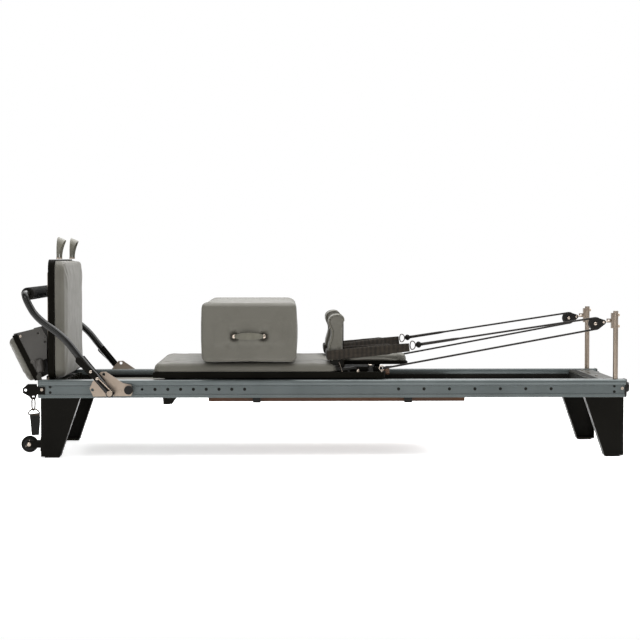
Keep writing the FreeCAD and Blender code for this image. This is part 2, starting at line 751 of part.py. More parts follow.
def make_legs():
    """Pans folded from plate: a face, with flanges turned inwards all round."""
    x, low, high = leg_edge, s.pad_height, s.rail_bottom
    outline = [(x, low), (x, high), (x + s.leg_top_length, high), (x + s.leg_foot_length, low)]
    slant = (s.leg_top_length - s.leg_foot_length) / (high - low)
    inset = s.wall * 1.06
    inner = [(x + s.wall, low + s.wall), (x + s.wall, high - s.wall),
             (x + s.leg_top_length - inset - slant * s.wall, high - s.wall),
             (x + s.leg_foot_length - inset + slant * s.wall, low + s.wall)]
    body = plate("XZ", rail_inner, s.rail_width, outline)
    doc.recompute()
    before = body.Shape.Volume
    sketch = new_sketch(body, "XZ", rail_inner)
    draw_polygon(sketch, inner)
    pan = body.newObject("PartDesign::Pocket", solid_name("Pocket"))
    pan.Profile = sketch
    pan.Reversed = True
    bind(pan, "Length", s.rail_width - s.wall)
    body.Tip = pan
    doc.recompute()
    assert body.Shape.Volume < before / 2, "the leg isn't hollowed"
    head = mirrored_head(body)
    node("foot_legs", both(body))
    node("head_legs", both(head))
    pads = []
    y = (-rail_middle - s.pad_width / 2, -rail_middle + s.pad_width / 2)
    for x0 in (leg_edge + s.pad_inset, -leg_edge - s.pad_inset - s.pad_length):
        pads += both(slab((x0, x0 + s.pad_length), y, (0, s.pad_height)))
    node("foot_pads", pads)


def make_frame_bolts():
    """Bolt heads on the rails' webs, inside the legs and on the head cross member."""
    radius, height = s.bolt_radius, s.bolt_height
    heads = [cylinder("y", radius, (s.rail_length / 2 - 14, -web_face - height, s.knob_z - 4), height)]
    for end in (-1, 1):
        for inset in (32, 110):
            at = (end * (s.rail_length / 2 - s.leg_inset - inset), -rail_middle)
            heads.append(cylinder("z", radius, (*at, s.rail_bottom - s.wall - height), height))
    for inset in (40, 200):
        at = (head_beam_x + s.head_beam_length / 2, -rail_inner + inset, s.head_beam_top)
        heads.append(cylinder("z", radius, at, s.wall))
    heads.append(cylinder("y", radius, (hang_x + 33, -web_face - s.bracket_thickness - height,
                                        s.knob_z - 5), height))
    node("frame_bolts", [copy for head in heads for copy in both(head)])


def make_boards():
    """The deck board on the tracks' lips, and the lower board clipped under the rails."""
    edge = ledge_inner - 5
    deck = slab((deck_x, deck_x + s.deck_length), (-edge, edge),
                (lip_top, lip_top + s.board_thickness))
    node("deck_board", [rounded(deck, s.wall, along(Z_AXIS))])
    low = s.rail_bottom - s.lower_board_thickness
    x = (s.lower_board_x, s.lower_board_x + s.lower_board_length)
    lower = slab(x, (-lower_board_half, lower_board_half), (low, s.rail_bottom))
    node("lower_board", [rounded(lower, 4 * s.wall, along(Z_AXIS))])
    clips = []
    for middle in (s.clip_one_x, s.clip_two_x):
        x = (middle - s.clip_width / 2, middle + s.clip_width / 2)
        edge = lower_board_half + s.fit_gap
        bar = slab(x, (-edge - 15, edge + 15), (low - s.clip_thickness, low))
        lug = slab(x, (-edge - 15, -edge), (low, s.rail_bottom))
        clips.append(fuse([bar] + both(lug)))
    node("lower_board_clips", clips)


def make_spring_bar():
    """A bar between the rails, with an upright peg at each spring."""
    low = s.beam_bottom - 4
    x = (spring_bar_x, spring_bar_x + s.spring_bar_length)
    parts = [slab(x, (-rail_inner, rail_inner), (low, low + s.spring_bar_height))]
    for place_number in range(-2, 3):
        y = s.spring_pitch * place_number
        middle = (x[0] + x[1]) / 2
        top = low + s.spring_bar_height
        parts.append(cylinder("z", s.peg_radius, (middle, y, top - 1), s.peg_height - 10))
        parts.append(cylinder("z", s.peg_radius + 3, (middle, y, top + s.peg_height - 12), 12))
    node("spring_bar", [fuse(parts)])


def make_springs():
    """Outer shape of the five carriage springs, from the bar to the carriage's anchor."""
    start = spring_bar_x + s.spring_bar_length + s.fit_gap
    length = s.anchor_x - start - s.fit_gap
    node("springs", [cylinder("x", s.spring_radius, (start, s.spring_pitch * n, s.spring_height), length)
                     for n in range(-2, 3)])


# ---------------------------------------------------------------------------------------------
# Risers, pulley blocks, ropes and clamp knobs
# ---------------------------------------------------------------------------------------------


def make_riser_posts():
    """Posts that stand on the rails' floor and come up through their top wall."""
    low = s.rail_bottom + s.wall
    posts = cylinder("z", s.post_radius, (post_x, -rail_middle, low), s.post_top - low)
    node("riser_posts", both(posts))


def make_post_eyes():
    """Pad eyes clamped to the posts, with two bolt heads behind each."""
    half, side = s.eye_foot_half, s.cheek_tip_radius
    tab_side = s.wall * 2 / 3
    post = cylinder("z", s.post_radius + s.snug_gap, (post_x, -rail_middle, s.eye_z - 2 * half), 4 * half)
    foot = slab((post_x - s.eye_foot_depth, post_x - s.post_radius / 2),
                (-rail_middle - side, -rail_middle + side), (s.eye_z - half, s.eye_z + half))
    tab = slab((eye_x - side, post_x - s.eye_foot_depth + 1),
               (-rail_middle - tab_side, -rail_middle + tab_side), (s.eye_z - side, s.eye_z + side))
    hole = cylinder("y", s.axle_radius, (eye_x, -rail_middle - s.run_past, s.eye_z), 2 * s.run_past)
    eye = cut(fuse([foot, tab]), [post, hole])
    bolt_rise = half - 8
    heads = [cylinder("x", s.bolt_radius, (post_x + s.post_radius - s.wall, -rail_middle, s.eye_z + rise),
                      2 * s.bolt_height) for rise in (-bolt_rise, bolt_rise)]
    pieces = [eye] + [cut(head, [post]) for head in heads]
    node("post_eyes", [copy for piece in pieces for copy in both(piece)])


def make_pulley_blocks():
    """Two teardrop cheeks joined by the sheave's axle and by the pad eye's pin."""
    start, tip = Vector(sheave_x.value, 0, s.sheave_z.value), Vector(eye_x.value, 0, s.eye_z.value)
    big, small = s.cheek_radius.value, s.cheek_tip_radius.value
    line = tip - start
    turn = math.acos((big - small) / line.Length)
    heading = math.atan2(line.z, line.x)
    up = Vector(math.cos(heading + turn), 0, math.sin(heading + turn))
    down = Vector(math.cos(heading - turn), 0, math.sin(heading - turn))
    out = Vector(math.cos(heading), 0, math.sin(heading))
    outline = Part.Wire([
        Part.Arc(start + up * big, start - out * big, start + down * big).toShape(),
        Part.LineSegment(start + down * big, tip + down * small).toShape(),
        Part.Arc(tip + down * small, tip + out * small, tip + up * small).toShape(),
        Part.LineSegment(tip + up * small, start + up * big).toShape()])
    cheek = Part.Face(outline).extrude(Y_AXIS * s.cheek_thickness.value)
    cheek_in = s.sheave_width.value / 2 + 0.5
    middle = -rail_middle.value
    solids = [cheek.translated(Vector(0, middle + cheek_in, 0)),
              cheek.translated(Vector(0, middle - cheek_in - s.cheek_thickness.value, 0))]
    reach = cheek_in + s.cheek_thickness.value + 1.5
    for centre, radius in ((start, s.axle_radius.value), (tip, s.axle_radius.value - 0.5)):
        solids.append(Part.makeCylinder(radius, 2 * reach, centre + Vector(0, middle - reach, 0), Y_AXIS))
    whole = solids[0].multiFuse(solids[1:]).removeSplitter()
    node("pulley_blocks", both(shaped(whole)))


def make_sheaves():
    """Grooved wheels, free to turn on their axles."""
    disc = cylinder("y", s.sheave_radius, (sheave_x, -rail_middle - s.sheave_width / 2, s.sheave_z),
                    s.sheave_width)
    groove = ring("y", s.rope_wrap_radius, s.rope_radius + 3 * s.fit_gap,
                  (sheave_x, -rail_middle, s.sheave_z))
    bore = cylinder("y", s.axle_radius + s.bore_gap, (sheave_x, -rail_middle - s.run_past, s.sheave_z),
                    2 * s.run_past)
    near = cut(disc, [groove, bore])
    node("sheave_near", [near])
    node("sheave_far", [mirrored(near)])


def make_ropes():
    """Taut ropes: from the stopper ball, half round the sheave and back to the carriage's eye bolt."""
    centre = Vector(sheave_x.value, 0, s.sheave_z.value)
    wrap = s.rope_wrap_radius.value
    start = Vector(s.ball_x.value, 0, s.ball_z.value)
    end = Vector(s.rope_eye_x.value + 12, 0, s.rope_eye_z.value + 2)

    def tangent(point, side):
        away = point - centre
        heading = math.atan2(away.z, away.x)
        turn = math.acos(wrap / away.Length)
        angle = heading + side * turn
        return centre + Vector(math.cos(angle), 0, math.sin(angle)) * wrap

    top, low = tangent(start, -1), tangent(end, 1)
    start += (top - start).normalize() * (s.ball_radius.value + 0.2)
    wire = Part.Wire([Part.LineSegment(start, top).toShape(),
                      Part.Arc(top, centre + X_AXIS * wrap, low).toShape(),
                      Part.LineSegment(low, end).toShape()])
    rope = tube_along(wire, s.rope_radius.value)
    expected = math.pi * s.rope_radius.value ** 2 * wire.Length
    print(f"rope: {wire.Length:.0f} mm long, radius {wrap:.0f} round the sheave, "
          f"volume {rope.Volume / expected:.4f} of section times length")
    print(f"rope points: {[tuple(round(c, 1) for c in p) for p in (start, top, low, end)]}")
    rope.rotate(centre, Z_AXIS, -s.rope_yaw.value)
    rope.translate(Vector(0, -rail_middle.value, 0))
    near = shaped(rope)
    node("rope_near", [near])
    node("rope_far", [mirrored(near)])


def make_post_knobs():
    """Round knobs at the head end of the rails, which clamp the riser posts."""
    x = s.rail_length / 2 + s.cap_thickness + s.fit_gap
    grip = cylinder("x", s.knob_radius, (x, -rail_middle, s.knob_z), s.knob_length)
    near = rounded(grip, s.wall * 0.8, lambda middle, direction: middle.x > float(x) + 1)
    node("post_knob_near", [near])
    node("post_knob_far", [mirrored(near)])


# ---------------------------------------------------------------------------------------------
# Foot end: brackets, hanging strap, transport wheels and platform
# ---------------------------------------------------------------------------------------------


def make_end_brackets():
    """Plates in the webs' recesses, with an eye beyond the end of the rail."""
    recess_low, recess_high = s.rail_bottom + s.flange_height + 3, rail_top - s.bead_height - 3
    x = -s.rail_length / 2 - s.cap_thickness
    outline = [(x + 28, recess_low), (x + 28, recess_high), (x, recess_high), (x - 4, recess_high + 12),
               (x - 38, recess_high + 12), (x - 58, recess_high - 4), (x - 58, recess_low + 6),
               (hang_x - 16, s.hang_z + 2), (hang_x - 8, s.hang_z - 9),
               (hang_x + 8, s.hang_z - 9), (x - 3, recess_low)]
    holes = [((hang_x, s.hang_z), s.hang_hole_radius), ((x - 47, recess_high - 12), s.hang_hole_radius)]
    node("end_brackets", both(plate("XZ", web_face, s.bracket_thickness, outline, holes)))


def wire_loop(centre, run, across, half_run, half_across, corner, wire):
    """A closed loop of wire: a rectangle with rounded corners, in the plane of two directions."""
    def at(a, b):
        return centre + run * a + across * b
    edges = []
    for side_a, side_b, turn_first in ((1, 1, True), (1, -1, False), (-1, -1, True), (-1, 1, False)):
        mid = corner * (1 - math.sqrt(0.5))
        on_end = at(side_a * half_run, side_b * (half_across - corner))
        on_side = at(side_a * (half_run - corner), side_b * half_across)
        bend = at(side_a * (half_run - mid), side_b * (half_across - mid))
        first, last = (on_side, on_end) if turn_first else (on_end, on_side)
        edges.append((first, bend, last))
    path = []
    for number, (first, bend, last) in enumerate(edges):
        path.append(Part.Arc(first, bend, last).toShape())
        following = edges[(number + 1) % 4][0]
        if (following - last).Length > 0.01:
            path.append(Part.LineSegment(last, following).toShape())
    return tube_along(Part.Wire(path), wire)


def make_hanging_strap():
    """A link through the bracket's lower eye, a D ring through the link, and a webbing tab."""
    middle = -(web_face + s.bracket_thickness / 2)
    wire = s.link_wire
    bend, plate_half = s.link_half.value, s.bracket_thickness.value / 2
    bend_drop = bend - math.sqrt(bend ** 2 - plate_half ** 2)
    top = s.hang_z - s.hang_hole_radius + wire + s.fit_gap + bend_drop
    bottom = top - s.link_length
    centre = Vector(hang_x.value, middle.value, (top.value + bottom.value) / 2)
    link = wire_loop(centre, Z_AXIS, Y_AXIS, (top.value - bottom.value) / 2, bend, bend, wire.value)
    ring_top = bottom + 2 * wire + s.fit_gap
    ring_low = ring_top - s.ring_height
    centre = Vector(hang_x.value + 2, middle.value, (ring_top.value + ring_low.value) / 2)
    dee = wire_loop(centre, X_AXIS, Z_AXIS, s.ring_half.value, s.ring_height.value / 2,
                    s.ring_corner.value, wire.value)
    node("hanging_ring", [shaped(link), shaped(dee)])
    x, thick = hang_x + 2, s.wall * 2
    half = s.ring_half - s.ring_corner - 0.5
    outline = [(x - half, s.strap_top), (x + half, s.strap_top), (x + half, ring_low - 12),
               (x + 6, s.strap_bottom), (x - 8, s.strap_bottom), (x - half, ring_low - 30)]
    tab = plate("XZ", -middle - thick / 2, thick, outline)
    run = cylinder("x", wire + s.fit_gap, (x - s.ring_half, middle, ring_low), 2 * s.ring_half)
    node("hanging_strap", [cut(tab, [run])])


def make_transport_wheels():
    """Wheels outboard of the foot end legs, on forks bolted to the legs."""
    y = -wheel_out
    disc = cylinder("y", s.wheel_radius, (wheel_x, y - s.wheel_width / 2, s.wheel_z), s.wheel_width)
    tyre = rounded(disc, 2 * s.wall, every_edge_but_seam)
    bore = cylinder("y", s.wheel_axle_radius + s.bore_gap, (wheel_x, y - s.wheel_width, s.wheel_z),
                    2 * s.wheel_width)
    near = cut(tyre, [bore])
    node("transport_wheel_near", [near])
    node("transport_wheel_far", [mirrored(near)])
    cheek_in = s.wheel_width / 2 + 2
    back = leg_edge - 4
    pieces = [slab((back, leg_edge), (y - cheek_in - s.wall, -rail_inner), (s.wheel_z - 26, s.wheel_z + 26))]
    for inner_face in (y - cheek_in - s.wall, y + cheek_in):
        pieces.append(slab((wheel_x - 8, back + 1), (inner_face, inner_face + s.wall),
                           (s.wheel_z - 14, s.wheel_z + 14)))
    reach = cheek_in + s.wall + 3
    pieces.append(cylinder("y", s.wheel_axle_radius, (wheel_x, y - reach, s.wheel_z), 2 * reach))
    node("wheel_brackets", both(fuse(pieces)))


def every_edge_but_seam(middle, direction):
    """The round rims of a wheel, whose end points coincide."""
    return direction.Length < 0.5


def make_foot_platform():
    """A padded board on two side plates, flipped out past the foot end."""
    lean = s.platform_lean
    turn = Rotation(Y_AXIS, -float(lean))
    half = s.platform_half - s.snug_gap * 4
    slabs = [("platform_board", 0, s.platform_thickness, s.wall),
             ("platform_pad", -s.platform_pad, s.platform_pad, s.platform_pad * 0.4)]
    for label, low, thickness, radius in slabs:
        sheet = slab((low, low + thickness), (-half, half), (0, s.platform_length))
        soft = rounded(sheet, radius, along(X_AXIS if label == "platform_board" else Y_AXIS))
        soft.Placement = Placement(Vector(platform_low_x.value, 0, s.platform_low_z.value), turn)
        bind(soft, "Placement.Base.x", platform_low_x)
        bind(soft, "Placement.Base.z", s.platform_low_z)
        node(label, [soft])
    x, z = hinge_x, s.hinge_z
    outline = [(x - 14, z - 15), (x - 98, z + 170), (x + 9, z + 196), (x + 32, z + 157), (x + 32, z + 73),
               (x + 8, z + 63), (x + 8, z + 18), (x + 12, z), (x, z - 12)]
    holes = [((x, z), s.hinge_pin_radius + 0.05), ((x - 64, z + 120), s.hinge_pin_radius),
             ((x + 25, z + 156), s.wall)]
    side = plate("XZ", s.platform_half, s.side_plate, outline, holes)
    heads = [cylinder("y", 2 * s.wall, (x + dx, -s.platform_half - s.side_plate - 3, z + dz), s.wall + 1)
             for dx, dz in ((-66, 161), (0, 173), (-25, 60))]
    node("platform_side_plates", both(fuse([side] + heads)))


# ---------------------------------------------------------------------------------------------
# Foot bar
# ---------------------------------------------------------------------------------------------

arm_inner = bar_out - s.bar_radius


def make_footbar_plates():
    """Slider plates on shoes in the rails' recesses, with the pivot bolts of the foot bar."""
    x, z = pivot_x, s.pivot_z
    outline = [(x - 68, z - 15), (x - 82, z + 16), (x - 71, z + 42), (x - 38, z + 81), (x - 18, z + 82),
               (x + 48, z + 37), (x + 79, z + 31), (x + 87, z + 7), (x + 79, z - 13)]
    stem_z = s.rail_bottom + s.web_hole_rise
    stem_x = slider_hole_x + 2 * s.slider_hole_pitch
    holes = [((x - 27, z + 72), 2 * s.wall), ((x - 71, z + 11), 2 * s.wall), ((x + 39, z + 9), s.wall),
             ((stem_x, stem_z), s.plunger_stem + s.fit_gap)]
    face = plate("XZ", slider_plate_out, s.slider_plate, outline, holes)
    shoe = slab((x - 63, x + 55), (-slider_plate_out, -web_face - s.fit_gap),
                (s.rail_bottom + s.flange_height + 2, rail_top - s.bead_height - 2))
    bolt = cylinder("y", s.pivot_radius, (x, -bar_out - s.bar_radius - 2, z),
                    bar_out + s.bar_radius + 2 - slider_plate_out)
    head_height = 5
    head = cylinder("y", s.pivot_radius + s.wall, (x, -bar_out - s.bar_radius - 2 - head_height, z),
                    head_height)
    node("footbar_plates", both(fuse([face, shoe, bolt, head])))


def make_plungers():
    """Spring plungers that index the slider along the row of web holes."""
    x = slider_hole_x + 2 * s.slider_hole_pitch
    z = s.rail_bottom + s.web_hole_rise
    knob_face = slider_plate_out + s.slider_plate + s.fit_gap
    knob = cylinder("y", s.plunger_radius, (x, -knob_face - s.plunger_length, z), s.plunger_length)
    stem = cylinder("y", s.plunger_stem, (x, -knob_face - 1, z), knob_face + 1 - web_face - s.fit_gap)
    near = fuse([knob, stem])
    node("plunger_near", [near])
    node("plunger_far", [mirrored(near)])


def make_footbar():
    """One bent tube: two arms with a double bend and a cross run, with eyes at the pivots."""
    out = bar_out.value

    def corner(x, z, side):
        return Vector(x.value, side * out, z.value)

    arm = [(pivot_x, s.pivot_z), (knee_x, s.knee_z), (elbow_x, s.elbow_z), (bar_x, s.bar_z)]
    points = [corner(x, z, -1) for x, z in arm] + [corner(x, z, 1) for x, z in reversed(arm)]
    wire = round_bend_path(points, s.bar_bend.value)
    outer = tube_along(wire, s.bar_radius.value)
    bore = tube_along(wire, s.bar_radius.value - s.bar_wall.value)
    eyes, holes = [], []
    for side in (-1, 1):
        centre = Vector(pivot_x.value, side * out, s.pivot_z.value)
        low = centre - Y_AXIS * s.bar_radius.value
        eyes.append(Part.makeCylinder(s.bar_radius.value + 2, 2 * s.bar_radius.value, low, Y_AXIS))
        holes.append(Part.makeCylinder(s.pivot_radius.value + s.bore_gap, 60, centre - Y_AXIS * 30, Y_AXIS))
    tube = outer.cut(bore).multiFuse(eyes).cut(Part.makeCompound(holes))
    print(f"foot bar: {wire.Length:.0f} mm long, bends of {s.bar_bend.value:.0f} mm, volume "
          f"{outer.Volume / (math.pi * s.bar_radius.value ** 2 * wire.Length):.4f} of section times length")
    node("footbar_tube", [shaped(tube)])
    foam = cylinder("y", s.grip_radius, (bar_x, -grip_half, s.bar_z), 2 * grip_half)
    rim = rounded(foam, 2 * s.wall, every_edge_but_seam)
    core = cylinder("y", s.bar_radius + s.snug_gap, (bar_x, -grip_half - s.run_past, s.bar_z),
                    2 * (grip_half + s.run_past))
    node("footbar_grip", [cut(rim, [core])])


def make_footbar_latches():
    """Latch strips on the arms' inner sides, each with a rod along it."""
    slope = math.atan2(s.knee_z.value - s.pivot_z.value, pivot_x.value - knee_x.value)
    turn = Rotation(Y_AXIS, math.degrees(slope))
    end = -s.latch_start - s.latch_length
    face = -arm_inner + s.fit_gap
    strip = slab((end, -s.latch_start), (face, face + s.side_plate),
                 (-s.latch_low, s.latch_width - s.latch_low))
    rod = cylinder("x", s.wall, (end + 8, -arm_inner + s.side_plate + s.wall, s.latch_rod_rise),
                   s.latch_length - 10)
    latch = fuse([rounded(strip, s.side_plate, along(Y_AXIS)), rod])
    latch.Placement = Placement(Vector(pivot_x.value, 0, s.pivot_z.value), turn)
    bind(latch, "Placement.Base.x", pivot_x)
    bind(latch, "Placement.Base.z", s.pivot_z)
    node("footbar_latches", both(latch))


# ---------------------------------------------------------------------------------------------
# Jump board
# ---------------------------------------------------------------------------------------------

jump_post_x = jump_x - s.jump_post_radius - s.fit_gap
jump_top = s.jump_bottom + s.jump_height


def make_jump_board():
    """A padded board on two posts that drop into the foot cross member."""
    y, z = (-s.jump_half, s.jump_half), (s.jump_bottom, jump_top)
    back = jump_x + s.jump_board
    node("jump_board", [rounded(slab((jump_x, back), y, z), s.jump_corner, along(X_AXIS))])
    node("jump_board_pad", [rounded(slab((back, back + s.jump_pad), y, z), s.jump_corner, along(X_AXIS))])
    posts = []
    for side in (-1, 1):
        at = (jump_post_x, side * s.jump_post_out)
        low = s.foot_beam_top - 30
        post = cylinder("z", s.jump_post_radius, (*at, low), s.jump_bottom - low + s.jump_post_height)
        collar_low = s.foot_beam_top + s.socket_height + s.fit_gap
        collar = cylinder("z", s.jump_post_radius + s.wall, (*at, collar_low),
                          s.jump_bottom - collar_low - s.fit_gap)
        posts.append(fuse([post, collar]))
    node("jump_board_posts", posts)
    loops = []
    middle = jump_x + s.jump_board + 2
    for side in (-1, 1):
        y0 = side * s.loop_out - s.loop_span / 2
        x0 = middle - s.loop_width / 2
        outer = rounded(box((x0, y0, jump_top - 30), (s.loop_width, s.loop_span, s.loop_height + 30)),
                        s.loop_span * 0.45, along(X_AXIS))
        inner = rounded(box((x0 - 5, y0 + s.loop_thickness, jump_top - 40),
                            (s.loop_width + 10, s.loop_span - 2 * s.loop_thickness,
                             s.loop_height + 40 - s.loop_thickness)),
                        s.loop_span * 0.45 - s.loop_thickness, along(X_AXIS))
        below = slab((x0 - 5, x0 + s.loop_width + 5), (y0 - 5, y0 + s.loop_span + 5),
                     (jump_top - 40, jump_top))
        loops.append(cut(outer, [inner, below]))
    node("jump_board_loops", loops)


# ---------------------------------------------------------------------------------------------
# Carriage
# ---------------------------------------------------------------------------------------------


def make_carriage_base():
    """The board, with the headrest's hinge blocks and stop standing on it."""
    low = (s.base_x, -carriage_half, s.base_bottom)
    board = rounded(box(low, (s.base_length, 2 * carriage_half, s.base_thickness)), s.base_corner,
                    lambda middle, direction: abs(direction.z) > 0.999 and middle.x > 0)
    x, z = s.head_hinge_x, s.head_hinge_z
    reach = (s.head_bottom - z - s.fit_gap) * math.sqrt(0.5)
    inner = s.head_knuckle_half + s.fit_gap
    block = slab((x - reach, x + reach), (-inner - s.head_block, -inner), (carriage_top - 1, z + reach))
    pin = cylinder("y", s.head_pin_radius, (x, -inner - s.head_block / 2, z), 2 * inner + s.head_block)
    stop = slab((s.rope_eye_x - 12, s.rope_eye_x + 8), (-40, 40),
                (carriage_top - 1, s.head_bottom - s.fit_gap))
    node("carriage_base", [fuse([board, stop, pin] + both(block))])


def make_carriage_cushion():
    """The padded bed of the carriage."""
    low = (s.cushion_x, -carriage_half, carriage_top + s.fit_gap)
    slab_shape = box(low, (s.cushion_length, 2 * carriage_half, s.cushion_thickness))
    node("carriage_pad", [rounded(slab_shape, s.cushion_corner, along(Z_AXIS))])


def make_carriage_wheels():
    """Four wheels on hangers under the base, running on the tracks' ledges."""
    axle_z = ledge_top + s.roller_radius + s.fit_gap
    wheel_out = rail_inner - 2
    hangers = []
    for label, x in (("carriage_wheels_foot", s.roller_foot_x), ("carriage_wheels_head", s.roller_head_x)):
        disc = cylinder("y", s.roller_radius, (x, -wheel_out, axle_z), s.roller_width)
        bore = cylinder("y", s.axle_radius + s.bore_gap, (x, -wheel_out - 5, axle_z), s.roller_width + 10)
        node(label, both(cut(disc, [bore])))
        hanger_out = wheel_out - s.roller_width - 4
        hanger = slab((x - 15, x + 15), (-hanger_out, -hanger_out + 6), (axle_z - 10, s.base_bottom))
        axle = cylinder("y", s.axle_radius, (x, -wheel_out - 1, axle_z), s.roller_width + 8)
        hangers += both(fuse([hanger, axle]))
    node("wheel_hangers", hangers)


def make_spring_anchor():
    """The plate under the carriage that the springs hook onto."""
    half = 2 * s.spring_pitch + 3 * s.spring_radius
    upright = slab((s.anchor_x, s.anchor_x + s.anchor_thickness), (-half, half),
                   (s.anchor_bottom, s.base_bottom))
    flange = slab((s.anchor_x, s.anchor_x + 40), (-half, half), (s.base_bottom - s.wall, s.base_bottom))
    node("spring_anchor", [fuse([upright, flange])])


def make_shoulder_rests():
    """Padded rests, each on a bent plate that is bolted to the base."""
    y = (-shoulder_in - s.shoulder_width, -shoulder_in)
    pad_depth = s.shoulder_depth
    pad = slab((s.shoulder_x, s.shoulder_x + pad_depth), y,
               (s.shoulder_bottom, s.shoulder_bottom + s.shoulder_height))
    node("shoulder_rests", both(rounded(pad, s.shoulder_depth * 0.3, along(X_AXIS))))
    x = s.shoulder_x + pad_depth + s.fit_gap
    upright = slab((x, x + s.plate_thickness), (y[0] + 30, y[1] - 30),
                   (carriage_top, s.shoulder_bottom + s.shoulder_height - 15))
    foot = slab((x, x + 35), (y[0] + 40, y[1] - 40), (carriage_top, carriage_top + s.plate_thickness))
    node("shoulder_plates", both(fuse([upright, foot])))


def make_hand_straps():
    """Padded loops that hang round the shoulder rests and end at the ropes' rings."""
    thick = s.strap_thickness
    out = shoulder_in + s.shoulder_width
    left = s.shoulder_x - thick - 2 * s.fit_gap
    tip = s.ball_x - 36
    outer = [(left, -out - 9), (tip - 70, -out - 9), (tip, -out - 1), (tip, -out + 11),
             (left + 75, -shoulder_in + 9), (left, -shoulder_in + 9)]
    inner = [(left + thick, -out - 3), (tip - 72, -out - 3), (tip - 14, -out + 3),
             (left + 74, -shoulder_in + 3), (left + thick, -shoulder_in + 3)]
    loop = plate("XY", 0, s.strap_width, outer, inner=inner)
    low = s.shoulder_bottom + s.strap_lift
    loop.Placement = Placement(Vector(0, 0, low.value), Rotation(Y_AXIS, -s.strap_rise.value))
    bind(loop, "Placement.Base.z", low)
    node("hand_straps", both(loop))


def make_rope_balls():
    """The ring on each hand strap and the stopper ball at the end of each rope."""
    y = -(rail_middle - (sheave_x - s.ball_x) * math.sin(math.radians(s.rope_yaw.value)))
    minor, major = s.hoop_wire, s.hoop_radius
    stopper = ball(s.ball_radius, (s.ball_x, y, s.ball_z))
    hoop = ring("y", major, minor, (s.ball_x - s.ball_radius - s.fit_gap - major - minor, y, s.ball_z - 3))
    node("rope_balls", both(stopper) + both(hoop))


def make_rope_fittings():
    """On each side of the carriage: a cleat, a bolt, a bollard and the rope's eye bolt."""
    y = -(carriage_half - 17)
    top = carriage_top
    post_half, bar_half = s.cleat_post / 2, s.cleat_length / 2
    cleat_post = slab((s.cleat_x - post_half, s.cleat_x + post_half), (y - 5, y + 5),
                      (top, top + s.cleat_height - s.wall))
    cleat_bar = slab((s.cleat_x - bar_half, s.cleat_x + bar_half), (y - 6, y + 6),
                     (top + s.cleat_height / 2, top + s.cleat_height))
    cleat = fuse([cleat_post, rounded(cleat_bar, s.wall, along(Y_AXIS))])
    bolt = cylinder("z", s.bolt_radius, (s.bolt_x, y, top), s.cleat_height / 2)
    bollard = cylinder("z", s.bollard_radius, (s.bollard_x, y, top), s.bollard_height)
    centre_z = s.rope_eye_z + s.hoop_wire
    shank = cylinder("z", s.wall, (s.rope_eye_x, y, top),
                     centre_z - s.rope_eye_radius + s.hoop_wire - top)
    hoop = ring("y", s.rope_eye_radius, s.rope_eye_wire, (s.rope_eye_x, y, centre_z))
    pieces = [cleat, bolt, bollard, fuse([shank, hoop])]
    node("rope_fittings", [copy for piece in pieces for copy in both(piece)])


def make_headrest():
    """A padded board that lifts about a pin at the carriage cushion's end."""
    x, y = (s.head_x, s.head_x + s.head_length), (-s.head_half, s.head_half)
    z = s.head_bottom
    board = slab(x, y, (z, z + s.head_board))
    half, knuckle_radius = s.head_knuckle_half, s.head_knuckle
    neck = slab((s.head_hinge_x - knuckle_radius, s.head_hinge_x + knuckle_radius), (-half, half),
                (s.head_hinge_z, z + 1))
    knuckle = cylinder("y", knuckle_radius, (s.head_hinge_x, -half, s.head_hinge_z), 2 * half)
    bore = cylinder("y", s.head_pin_radius + s.bore_gap, (s.head_hinge_x, -half - 5, s.head_hinge_z),
                    2 * half + 10)
    node("headrest_board", [cut(fuse([board, neck, knuckle]), [bore])])
    pad = slab(x, y, (z + s.head_board, z + s.head_board + s.head_pad))
    node("headrest_pad", [rounded(pad, s.head_pad * 0.4, along(Z_AXIS))])


def make_star_knob():
    """A lobed knob on a stem at the head side of the base."""
    x = s.base_x + s.base_length + s.fit_gap
    z = s.base_bottom + s.base_thickness / 2
    stem = cylinder("x", s.star_radius / 3, (x, -s.star_out, z), s.star_stem + 2)
    core = cylinder("x", s.star_radius * 0.72, (x + s.star_stem, -s.star_out, z), s.star_thickness)
    lobes = []
    lobe_count = 5
    for number in range(lobe_count):
        angle = 2 * math.pi * number / lobe_count
        at = (x + s.star_stem, -s.star_out + s.star_radius * (0.66 * math.cos(angle)),
              z + s.star_radius * (0.66 * math.sin(angle)))
        lobes.append(cylinder("x", s.star_radius * 0.34, at, s.star_thickness))
    node("star_knob", [fuse([stem, core] + lobes)])


# ---------------------------------------------------------------------------------------------
# Sitting box
# ---------------------------------------------------------------------------------------------


def make_sitting_box():
    """A padded box that rests on the carriage, with a strap handle on each end."""
    low_z = carriage_top + s.fit_gap + s.cushion_thickness + s.fit_gap
    low = (s.box_x, -s.box_half, low_z)
    outer = rounded(box(low, (s.box_length, 2 * s.box_half, s.box_height)), s.box_corner, every_edge)
    inner = box(tuple(c + s.box_wall for c in low),
                (s.box_length - 2 * s.box_wall, 2 * s.box_half - 2 * s.box_wall,
                 s.box_height - 2 * s.box_wall))
    node("sitting_box", [cut(outer, [inner])])
    middle = s.box_x + s.box_length / 2
    reach = s.handle_gap + s.wall
    pieces = []
    for side in (-1, 1):
        x = middle + side * s.stud_spread / 2
        pieces.append(cylinder("y", s.stud_radius, (x, -s.box_half - reach - 2, s.handle_z), reach + 2))
    strap = slab((middle - s.stud_spread / 2 - 12, middle + s.stud_spread / 2 + 12),
                 (-s.box_half - reach, -s.box_half - s.handle_gap),
                 (s.handle_z - s.handle_width / 2, s.handle_z + s.handle_width / 2))
    node("box_handles", both(fuse(pieces + [rounded(strap, s.wall * 2, along(Y_AXIS))])))


# ---------------------------------------------------------------------------------------------
# Build, check and write
# ---------------------------------------------------------------------------------------------


